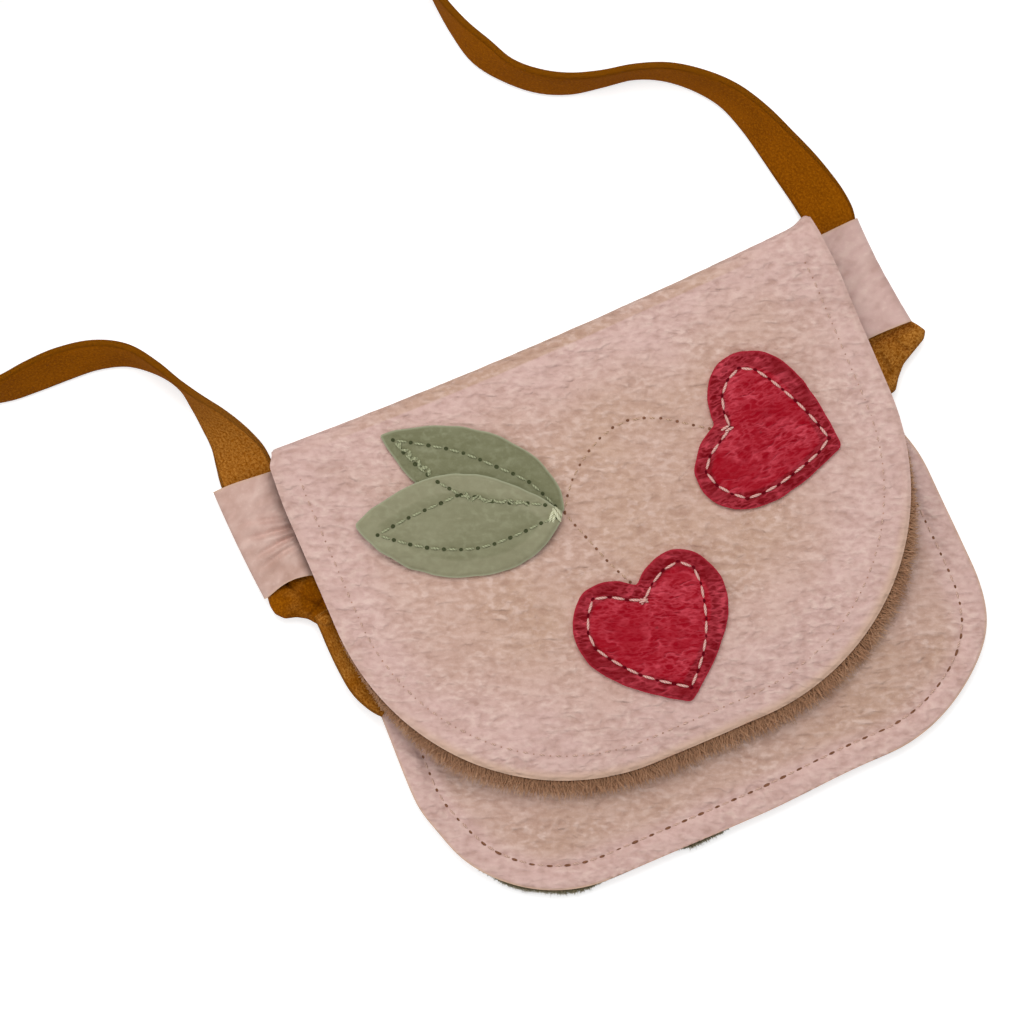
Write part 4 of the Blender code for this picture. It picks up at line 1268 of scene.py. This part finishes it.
def applique(name, edge_line, place, thickness, finish, seams, slot, middle_share, wrinkle, tones,
             lift=None, grain_turn=0.0):
    """Cut leather shape that follows the flap, with a rounded edge and a dent under its stitches.

    Its rings close in on a middle at a share of its length; tones are those of its middle and margin.
    """
    middle = np.array((0.0, edge_line[:, 1].min() * middle_share))
    shares = 1 - np.concatenate(((0.0, 0.006, 0.018, 0.04), np.linspace(0.07, 0.97, 40)))
    local = (middle + (edge_line - middle) * shares[:, None, None]).reshape(-1, 2)
    x, drop = on_flap(local, place)
    flat = np.column_stack((x, fold_y - drop))
    laid = np.column_stack((x, drop))
    edge = distance_to(local, evenly(edge_line, 0.0004))
    from_seam = np.minimum.reduce([distance_to(laid, evenly(seam, 0.0005)) for seam in seams])
    under = flap_top(x, drop) + applique_gap + (lift(local) if lift else 0.0)
    texture = turned_grain(flat, grain_turn)
    grain = wrinkle * (relief_of(texture, scale=210.0, stretch=2.0, seed=31.0)
                       + 0.5 * relief_of(texture, scale=460.0, stretch=1.6, seed=33.0))
    dent_depth = 0.00034
    dent_width = 0.0010
    smooth_margin = 0.001
    edge_round = 0.00050
    round_margin = 0.0009
    dent = dent_depth * bell(from_seam, dent_width)
    round_edge = edge_round * fade(edge, round_margin)
    z = under + seat_gap + thickness - dent + grain * ease(edge / smooth_margin) - round_edge
    sides = len(edge_line)
    hub_x, hub_drop = on_flap(middle[None], place)
    hubs = [(hub_x[0], fold_y - hub_drop[0], heights[-sides:].mean()) for heights in (z, under)]
    verts = np.vstack((lifted(flat, z), lifted(flat, under)[:sides], hubs))
    faces = grid_faces(len(shares), sides, closed=True)
    last, low = (len(shares) - 1) * sides, len(flat)
    for i in range(sides):
        j = (i + 1) % sides
        faces += [(last + i, last + j, len(verts) - 2), (i, low + i, low + j, j),
                  (low + j, low + i, len(verts) - 1)]
    cut_edge = 0.0006
    margin_width = 0.0031
    margin_ramp = 0.0012
    rim = np.concatenate((fade(edge, cut_edge), np.ones(sides), (0.0, 0.0)))
    inner = ease((edge - margin_width) / margin_ramp)
    tone = np.concatenate((tones[0] * inner + tones[1] * (1 - inner), np.full(sides + 2, tones[1])))
    cloth = add_mesh(f"{name}_leather", verts, faces, finish,
                     {"place": turned_grain(verts, grain_turn), "rim": rim, "tone": tone})
    placed(cloth, "lid", slot, name)


# Stitches

def seam_route(places):
    """Smooth seam through places along the fold and drops in mm."""
    return curve_through(np.array(places) * route_unit, 10)


def stitches(name, runs, height, finish, body, slot, radius, dash_share, rise=0.9, lifts=None):
    """Sewn stitches between the needle holes of runs of x and drop, each sunk at both its ends."""
    sides = 8
    turn = np.arange(sides) * 2 * math.pi / sides
    shares = np.linspace(0, 1, 9)
    size = radius * np.sqrt(np.sin(math.pi * (0.06 + 0.88 * shares)))[:, None]
    arch = radius * (rise * np.sin(math.pi * shares) ** 0.5 - 0.45)
    wide = size * np.cos(turn)
    verts, places = [], []
    gone = 0.0
    for run, lift in zip(runs, lifts or np.zeros(len(runs))):
        for a, b in zip(run, run[1:]):
            length = np.linalg.norm(b - a)
            way = (b - a) / length
            centre = a + (b - a) * ((1 - dash_share) / 2 + dash_share * shares[:, None])
            x = centre[:, :1] - way[1] * wide
            y = fold_y - centre[:, 1:] - way[0] * wide
            z = (height(*centre.T) + arch + lift)[:, None] + size * np.sin(turn)
            verts.append(np.stack((x, y, z), -1))
            along = gone + length * dash_share * shares[:, None]
            places.append(np.stack(np.broadcast_arrays(along, turn * radius, 0.0), -1))
            gone += length
    faces = []
    for cell in (grid_faces(len(shares), sides, closed=True), end_faces(len(shares), sides)):
        faces += repeated(cell, len(verts), len(shares) * sides)
    piece = add_mesh(name, verts, faces, finish, {"place": np.reshape(places, (-1, 3))})
    return placed(piece, body, slot)


def needle_holes(name, runs, height, finish, body, slot, along, wide):
    """Dark, shallow lenses where the needle went through, of a half-length for all or for each."""
    sides = 10
    turn = np.arange(sides) * 2 * math.pi / sides
    ring_rise, top_rise, bottom_rise = 0.00006, 0.00014, -0.00020
    verts = []
    for run in runs:
        x, drop = run.T[:, :, None]
        way_x, way_drop = unit(np.gradient(run, axis=0)).T[:, :, None]
        z = height(*run.T)[:, None]
        size = 1 + 0.25 * noise_at(run[:, 0] * 900, run[:, 1] * 900, 1.0)[:, None]
        u = np.reshape(along, (-1, 1)) * size * np.cos(turn)
        v = wide * size * np.sin(turn)
        ring_x = x + way_x * u - way_drop * v
        ring_y = fold_y - drop - way_drop * u - way_x * v
        ring = np.stack(np.broadcast_arrays(ring_x, ring_y, z + ring_rise), -1)
        hubs = np.stack(np.broadcast_arrays(x, fold_y - drop, z + (top_rise, bottom_rise)), -1)
        verts.append(np.concatenate((ring, hubs), 1))
    verts = np.vstack(verts)
    cell = []
    for k in range(sides):
        j = (k + 1) % sides
        cell += [(k, j, sides), (j, k, sides + 1)]
    faces = repeated(cell, len(verts), sides + 2)
    piece = add_mesh(name, verts, faces, finish, {"place": grain_place(verts)})
    return placed(piece, body, slot)


def edge_seam(half_width, first, last, margin, spacing):
    """Needle holes of a seam at a margin inside an outline, as x and drop."""
    line = inset(outline(half_width, first, last), margin)
    return evenly(np.column_stack((line[:, 0], fold_y - line[:, 1])), spacing)


def make_seams():
    """Stitched seams round the front and round the flap's edge."""
    seam = edge_seam(body_half_width, 0.020, body_height, seam_inset, 0.0039)
    long_at_bottom = 0.00040 + 0.00032 * ease((seam[:, 1] - 0.088) / 0.012)
    settle(stitches("front_seam_thread", [seam], front_height, seam_thread, "pouch", "pink_leather",
                    radius=0.00024, dash_share=0.46, rise=0.5))
    settle(needle_holes("front_seam_holes", [seam], front_height, brown_hole, "pouch", "pink_leather",
                        along=long_at_bottom, wide=0.00031))
    seam = edge_seam(flap_half_width, 0.008, flap_height, 0.0054, 0.0036)
    stitches("flap_seam_thread", [seam], flap_top, seam_thread, "lid", "pink_leather",
             radius=0.00019, dash_share=0.36, rise=0.8)
    needle_holes("flap_seam_holes", [seam], flap_top, faint_hole, "lid", "pink_leather",
                 along=0.00018, wide=0.00016)


heart_seams = {
    "upper": (((30.3, 34.8), (30.3, 32.0), (30.9, 28.5), (33.3, 25.6), (35.7, 23.8), (38.6, 24.1),
               (41.1, 26.6), (44.8, 33.3), (47.4, 39.6), (49.0, 45.2)),
              ((49.0, 45.2), (46.7, 46.8), (40.5, 48.8), (33.2, 50.4), (26.8, 50.0), (24.9, 47.8),
               (22.5, 44.6), (21.7, 41.2), (22.9, 39.4), (25.6, 37.5), (30.3, 34.8))),
    "lower": (((-1.4, 61.6), (-5.5, 59.6), (-9.2, 57.3), (-11.9, 57.1), (-13.7, 59.6), (-15.3, 63.3),
               (-15.2, 66.9), (-13.3, 70.1), (-7.9, 76.6), (0.5, 82.8)),
              ((0.5, 82.8), (4.7, 78.5), (7.4, 74.5), (9.3, 70.6), (11.1, 63.7), (11.4, 60.3),
               (10.2, 57.4), (7.4, 56.6), (4.8, 57.2), (2.0, 58.6), (-1.4, 61.6))),
}
leaf_seams = {
    "upper": (((-37.5, 8.5), (-31.2, 12.4), (-25.1, 16.7), (-19.2, 22.7), (-14.1, 28.4), (-11.0, 35.4)),
              ((-37.5, 8.5), (-36.6, 11.6), (-35.2, 15.1), (-33.6, 18.3))),
    "lower": (((-48.6, 26.0), (-40.7, 25.2), (-33.9, 25.1), (-28.7, 25.2), (-22.4, 29.5), (-15.9, 32.6),
               (-12.9, 34.3)),
              ((-48.6, 26.0), (-42.3, 31.1), (-36.1, 34.7), (-29.0, 37.3), (-21.2, 37.8), (-14.3, 37.5),
               (-11.6, 37.7)),
              ((-32.2, 20.6), (-28.7, 25.2))),
}
heart_knots = {
    "upper": (((30.4, 34.2), (28.0, 34.5)), ((31.0, 34.9), (29.0, 35.0))),
    "lower": (((-2.2, 60.9), (-0.7, 62.3)), ((-2.3, 62.2), (-0.8, 60.9)), ((-2.6, 61.6), (-0.6, 61.6))),
}
leaf_knot = (((-13.7, 38.2), (-11.5, 35.8)), ((-11.7, 35.5), (-11.2, 39.0)), ((-13.0, 38.6), (-11.7, 36.8)),
             ((-11.2, 35.4), (-10.6, 38.2)))


def on_leather(thickness):
    """Height of the stitches on an applique of a thickness, as a function of x and drop."""
    def height(x, drop):
        return flap_top(x, drop) + applique_gap + seat_gap + thickness - stitch_sink
    return height


def make_hearts():
    height = on_leather(heart_thickness)
    for label, lobe_rise, grain_turn in (("upper", 0.0029, 24.0), ("lower", 0.0041, 3.0)):
        seams = [seam_route(route) for route in heart_seams[label]]
        edge_line = softened(heart_outline(heart_half, heart_depth, lobe_rise), 0.0014)
        edge_line = uneven(edge_line, 0.00022, 320.0, lobe_rise * 1000)
        applique(f"heart_{label}", edge_line, heart_places[label], heart_thickness, red, seams,
                 "red_leather", middle_share=0.36, wrinkle=0.00024, tones=(-0.4, 1.2), grain_turn=grain_turn)
        runs = [evenly(seam, 0.0038) for seam in seams]
        stitches(f"heart_{label}_thread", runs, height, cream_thread, "lid", "red_leather",
                 radius=0.00030, dash_share=0.72)
        needle_holes(f"heart_{label}_holes", runs, height, red_hole, "lid", "red_leather",
                     along=0.00046, wide=0.00030)
        strokes = np.array(heart_knots[label]) * route_unit
        stitches(f"heart_{label}_knot", strokes, height, cream_thread, "lid", "red_leather",
                 radius=0.00030, dash_share=1.0, rise=1.1, lifts=(0.0001, 0.0003, 0.0005))


# Where a leaf's thread is untidy, and how many times it was sewn over
rough_stretches = {
    "upper": (((-37.0, 9.6), (-35.6, 12.6), (-34.2, 15.4), (-32.8, 18.6)), 4),
    "lower": (((-28.2, 25.6), (-24.6, 28.0), (-20.4, 30.6), (-15.9, 32.6)), 2),
}


def ruffled(seam):
    """An untidy run of thread that strays to both sides of a seam."""
    run = evenly(seam, 0.0015)
    stray = np.where(np.arange(len(run)) % 2, 0.0006, -0.0006) + dice.normal(0, 0.0003, len(run))
    return run + (inset(run, 1.0) - run) * stray[:, None]


def make_leaves():
    lower_bulges = (0.0096, 0.0129)
    climb_end = 0.62
    upper = leaf_outline(leaf_upper_length, (0.0096, 0.0092), (0.16, 0.66), (0.30, 0.62))
    lower = leaf_outline(leaf_lower_length, lower_bulges, (0.38, 0.66), (0.10, 0.78))
    upper_height = on_leather(leaf_thickness)

    def over(local):
        """The lower leaf lies on the upper one and comes down across its own width."""
        share = (local[:, 0] + lower_bulges[0]) / sum(lower_bulges)
        return (leaf_thickness + seat_gap) * fade(share - climb_end, 1 - climb_end)

    def lower_height(x, drop):
        return upper_height(x, drop) + over(own_points(x, drop, leaf_places["lower"]))

    for label, edge_line, height, lift, tones in (("upper", upper, upper_height, None, (0.6, 0.9)),
                                                  ("lower", lower, lower_height, over, (0.15, -0.4))):
        seams = [seam_route(route) for route in leaf_seams[label]]
        edge_line = uneven(softened(edge_line, 0.0012), 0.00030, 280.0, tones[0])
        applique(f"leaf_{label}", edge_line, leaf_places[label], leaf_thickness, green, seams,
                 "green_leather", middle_share=0.5, wrinkle=0.00008, tones=tones, lift=lift)
        runs = [evenly(seam, 0.0037) for seam in seams]
        stitches(f"leaf_{label}_thread", runs, height, green_thread, "lid", "green_leather",
                 radius=0.00028, dash_share=0.60)
        route, times = rough_stretches[label]
        stitches(f"leaf_{label}_fluff", [ruffled(seam_route(route)) for i in range(times)], height,
                 green_thread, "lid", "green_leather", radius=0.00019, dash_share=0.95, rise=1.6)
        needle_holes(f"leaf_{label}_holes", runs, height, green_hole, "lid", "green_leather",
                     along=0.00048, wide=0.00042)
    strokes = np.array(leaf_knot) * route_unit
    stitches("leaf_knot_thread", strokes, upper_height, knot_thread, "lid", "green_leather",
             radius=0.00040, dash_share=1.0, rise=1.1, lifts=(0.0014, 0.0016, 0.0013, 0.0010))


def make_stems():
    """Stitched stems from the leaves' base to both hearts."""
    upper = ((-9.6, 37.4), (-6.9, 33.3), (-2.9, 29.5), (3.4, 25.8), (10.1, 24.5), (16.9, 26.7),
             (22.3, 30.4), (26.2, 33.2))
    lower = ((-9.7, 37.6), (-8.5, 41.4), (-6.9, 46.0), (-5.0, 51.6), (-2.6, 56.8))
    runs = [evenly(seam_route(stem), 0.0035) for stem in (upper, lower)]
    stitches("stem_thread", runs, flap_top, beige_thread, "lid", "pink_leather", radius=0.00020,
             dash_share=0.42, rise=0.7)
    needle_holes("stem_holes", runs, flap_top, brown_hole, "lid", "pink_leather",
                 along=0.00036, wide=0.00030)


make_hearts()
make_leaves()
make_stems()
make_seams()

steel = plated_metal("plated_nickel")
for name in ("snap_cap", "snap_socket"):
    frame["nodes"][name].data.materials.clear()
    frame["nodes"][name].data.materials.append(steel)


# Loops at both sides

loop_leather = 0.0009
loop_reach = 0.0763
loop_rise_start = 0.0614
loop_rise_end = 0.0634
loop_clearance = 0.0003
loop_low = lining_offset + loop_leather / 2
loop_high = loop_low + loop_leather + lace_thickness + 2 * loop_clearance
loop_seated = hide_stack + seat_gap + loop_leather / 2


def loop_section(reach):
    """Middle line of a loop's leather as distance out and height: lower leg, outer fold, upper leg."""
    radius = (loop_high - loop_low) / 2
    centre = reach - loop_leather / 2 - radius
    fold = [(centre + radius * math.sin(turn), loop_low + radius * (1 - math.cos(turn)))
            for turn in np.linspace(0, math.pi, 24)]
    lower = [(x, loop_low) for x in np.linspace(loop_leg_start, centre, 12, endpoint=False)]
    upper = [(x, loop_high) for x in np.linspace(centre, loop_rise_end, 14)[1:]]
    return np.array(lower + fold + upper + [(loop_rise_start, loop_seated), (loop_leg_start, loop_seated)])


def make_loop(label, side, top_reach, bottom_reach, puffs, ends, tone, creases):
    """Folded leather tab; each crease is a share of its length, a slant, a depth and a width in metres.

    The puffs are its bulge at the top and at the bottom; the ends are how far the top's outer corner
    reaches up and how far the bottom edge is arched.
    """
    shares = np.linspace(0, 1, 90)
    crease_ridge = 0.045 * loop_length
    outer, inner, places = [], [], []
    for share in shares:
        line = loop_section(top_reach + (bottom_reach - top_reach) * share ** 2)
        along = unit(np.gradient(line, axis=0))
        out = np.column_stack((along[:, 1], -along[:, 0]))
        gone = travelled(line)
        upper = ease((line[:, 1] - loop_low) / (loop_high - loop_low))
        crossed = (line[:, 0] - loop_rise_end) / (loop_reach - loop_rise_end)
        inside = crossed.clip(0, 1)
        reaching = (ends[0] * (1 - share) ** 2 * ease(crossed)
                    + ends[1] * share ** 4 * upper * np.sin(math.pi * inside))
        y = fold_y - loop_top_drop - loop_length * share + reaching
        dent = 0.0
        for where, slant, depth, width in creases:
            wander = 0.02 * noise_at(gone * 260, where * 40, 2.0)
            off = (share - where - slant * crossed - wander) * loop_length
            dent += depth * (0.5 * bell(off - crease_ridge, width) - bell(off, width))
        swell = puffs[0] + (puffs[1] - puffs[0]) * ease((share - 0.35) / 0.5)
        bulge = swell * np.sin(math.pi * inside ** 0.7)
        push = (dent * (1 - inside ** 4) + bulge) * upper * ease((crossed + 0.1) / 0.2)
        for sheet, offset in ((outer, loop_leather / 2), (inner, -loop_leather / 2)):
            moved = line + out * (push + offset)[:, None]
            sheet.append(np.column_stack((side * moved[:, 0], y, moved[:, 1])))
        places.append(np.column_stack((side * gone, y)))
    outer, inner = np.array(outer), np.array(inner)
    from_end = np.minimum(shares, 1 - shares)[:, None] * loop_length
    rim = np.broadcast_to(fade(from_end, 0.0005), outer.shape[:2])
    tab = shell(f"loop_{label}_tab", outer, inner, pink, grain_place(0.5 * np.array(places)), rim, tone,
                sharp_degrees=50)
    placed(tab, "pouch", "pink_leather", f"loop_{label}")


# The loops' tone paints them pinker and lighter, the right loop most, partly as painted highlight.
make_loop("left", side=-1, top_reach=0.0784, bottom_reach=0.0773, puffs=(0.0026, 0.0034),
          ends=(0.0009, 0.0014), tone=0.25, creases=(
              (0.20, 0.02, 0.00020, 0.0009), (0.35, -0.06, 0.00040, 0.0009), (0.46, -0.14, 0.00080, 0.0007),
              (0.53, -0.06, 0.00110, 0.0007), (0.60, 0.04, 0.00100, 0.0007), (0.66, 0.10, 0.00070, 0.0008)))
make_loop("right", side=1, top_reach=0.0743, bottom_reach=0.0767, puffs=(0.0014, 0.0020),
          ends=(0.0004, 0.0002), tone=1.3, creases=(
              (0.35, 0.05, 0.00008, 0.0010), (0.60, -0.06, 0.00012, 0.0010), (0.76, 0.06, 0.00014, 0.0009)))


# Strap ends below the loops

def tail(name, rows, paleness=0.35, stands_for=()):
    """Lace end along rows of place out, drop, height, tilt and width, in mm and degrees."""
    rows = curve_through(rows, 8)
    line = rows[:, :3] * (route_unit, -route_unit, route_unit) + (0, fold_y, 0)
    paler_share = (paleness + 0.7 * noise_at(travelled(line) * 330, 3.0, 0.0)).clip(0, 1)
    lace = ribbon(name, np.column_stack((line, rows[:, 3])), rows[:, 4] * route_unit, seed=5.0, tone=paler_share)
    placed(lace, "pouch", "suede", *stands_for)


def bunch(name, points, middle_height, half_height, paleness, seed, folds=()):
    """Soft bunch of suede: a rounded pad inside an outline, dented along its folds, in mm.

    A fold runs from one place to another and has a depth and a width. A paler bunch is painted paler all
    over, partly as painted highlight.
    """
    edge_line = softened(np.array(points) * route_unit, 0.0007, 0.0003)
    middle = edge_line.mean(axis=0)
    shares = np.cos(np.linspace(0, math.pi / 2, 24)[:-1])
    rise = (1 - shares ** 2.6) ** 0.55
    shares = np.concatenate((shares[:0:-1], shares))
    rise = np.concatenate((-rise[:0:-1], rise))
    local = (middle + (edge_line - middle) * shares[:, None, None]).reshape(-1, 2)
    x, drop = local.T
    up = np.repeat(rise, len(edge_line))
    bumps = noise_at(x * 260, drop * 260, seed) + 0.5 * noise_at(x * 620, drop * 620, seed)
    z = (middle_height + half_height * up * (1 + 0.22 * bumps)) * route_unit
    for first, last, depth, width in folds:
        a, b = np.array(first) * route_unit, np.array(last) * route_unit
        along = ((local - a) @ (b - a) / ((b - a) @ (b - a))).clip(0, 1)
        off = np.hypot(*(local - a - along[:, None] * (b - a)).T)
        z -= depth * route_unit * bell(off, width * route_unit) * ease(up / 0.4)
    verts = np.column_stack((x, fold_y - drop, z))
    faces = grid_faces(len(shares), len(edge_line), closed=True) + end_faces(len(shares), len(edge_line))
    # Painted highlight: a paler bunch is painted paler all over, patchy with its bumps.
    paler_share = (paleness + 0.5 * bumps).clip(0, 0.9)
    pad = add_mesh(name, verts, faces, strap_suede,
                   {"place": verts, "rim": np.zeros(len(verts)), "tone": paler_share}, sharp_degrees=180)
    placed(pad, "pouch", "suede")


def make_strap_ends():
    """Below each loop the lace is bunched into a knot; on the left its tail runs in under the flap."""
    tail("strap_end_left_lace", (
        (-69.6, 5.9, 3.5, 0, 11.6), (-69.5, 12, 3.5, 0, 11.2), (-69.4, 21, 3.5, 0, 11.0),
        (-69.6, 26, 3.5, 0, 11.0), (-69.8, 30.0, 3.4, 0, 10.0)), stands_for=("strap_end_left",))
    bunch("strap_end_left_knot", (
        (-75.6, 26.0), (-76.5, 28.6), (-76.8, 30.8), (-76.5, 32.9), (-74.9, 34.7), (-72.4, 35.4),
        (-70.3, 36.7), (-68.7, 38.8), (-67.0, 40.4), (-64.4, 40.0), (-62.6, 36.0), (-62.4, 30.0),
        (-63.4, 26.0)),
        middle_height=3.5, half_height=2.7, paleness=0.0, seed=2.0,
        folds=(((-71.6, 27.0), (-66.0, 35.2), 0.9, 0.7), ((-69.6, 36.6), (-65.6, 34.4), 0.8, 0.6),
               ((-75.5, 31.0), (-71.0, 30.2), 0.4, 0.9)))
    bunch("strap_end_left_fold", (
        (-68.5, 37.9), (-67.4, 36.9), (-65.4, 36.8), (-64.2, 38.0), (-65.0, 39.6), (-67.2, 39.8)),
        middle_height=6.9, half_height=1.1, paleness=0.60, seed=8.0)
    tail("strap_end_left_tail", (
        (-66.6, 36.6, 5.4, 8, 4.6), (-65.9, 40.0, 6.2, 6, 5.6), (-65.3, 44.0, 6.4, 2, 6.8),
        (-64.5, 49.0, 6.4, 0, 8.2), (-63.4, 54.0, 6.4, 0, 9.2), (-61.8, 57.8, 6.4, 0, 9.2),
        (-60.2, 60.2, 6.4, 0, 8.8)), paleness=0.55)
    tail("strap_end_right_lace", (
        (68.9, 5.9, 3.5, 0, 9.4), (68.9, 12, 3.5, 0, 9.6), (69.1, 21, 3.5, 0, 10.0),
        (69.4, 26, 3.5, 0, 10.6), (69.8, 29.6, 3.5, 0, 10.6)), stands_for=("strap_end_right",))
    bunch("strap_end_right_knot", (
        (64.0, 26.0), (69.0, 25.6), (74.6, 26.0), (76.2, 28.4), (77.7, 30.4), (78.7, 32.1), (77.6, 33.7),
        (73.9, 35.6), (71.3, 37.0), (69.2, 39.2), (67.5, 41.6), (65.6, 42.0), (63.4, 39.6), (62.6, 34.0),
        (62.8, 29.0)),
        middle_height=3.7, half_height=2.7, paleness=0.90, seed=5.0,
        folds=(((63.5, 31.0), (76.0, 29.8), 1.8, 0.8), ((70.6, 31.0), (73.0, 34.6), 0.9, 0.6),
               ((67.0, 33.0), (67.6, 38.0), 0.5, 0.6)))


make_strap_ends()
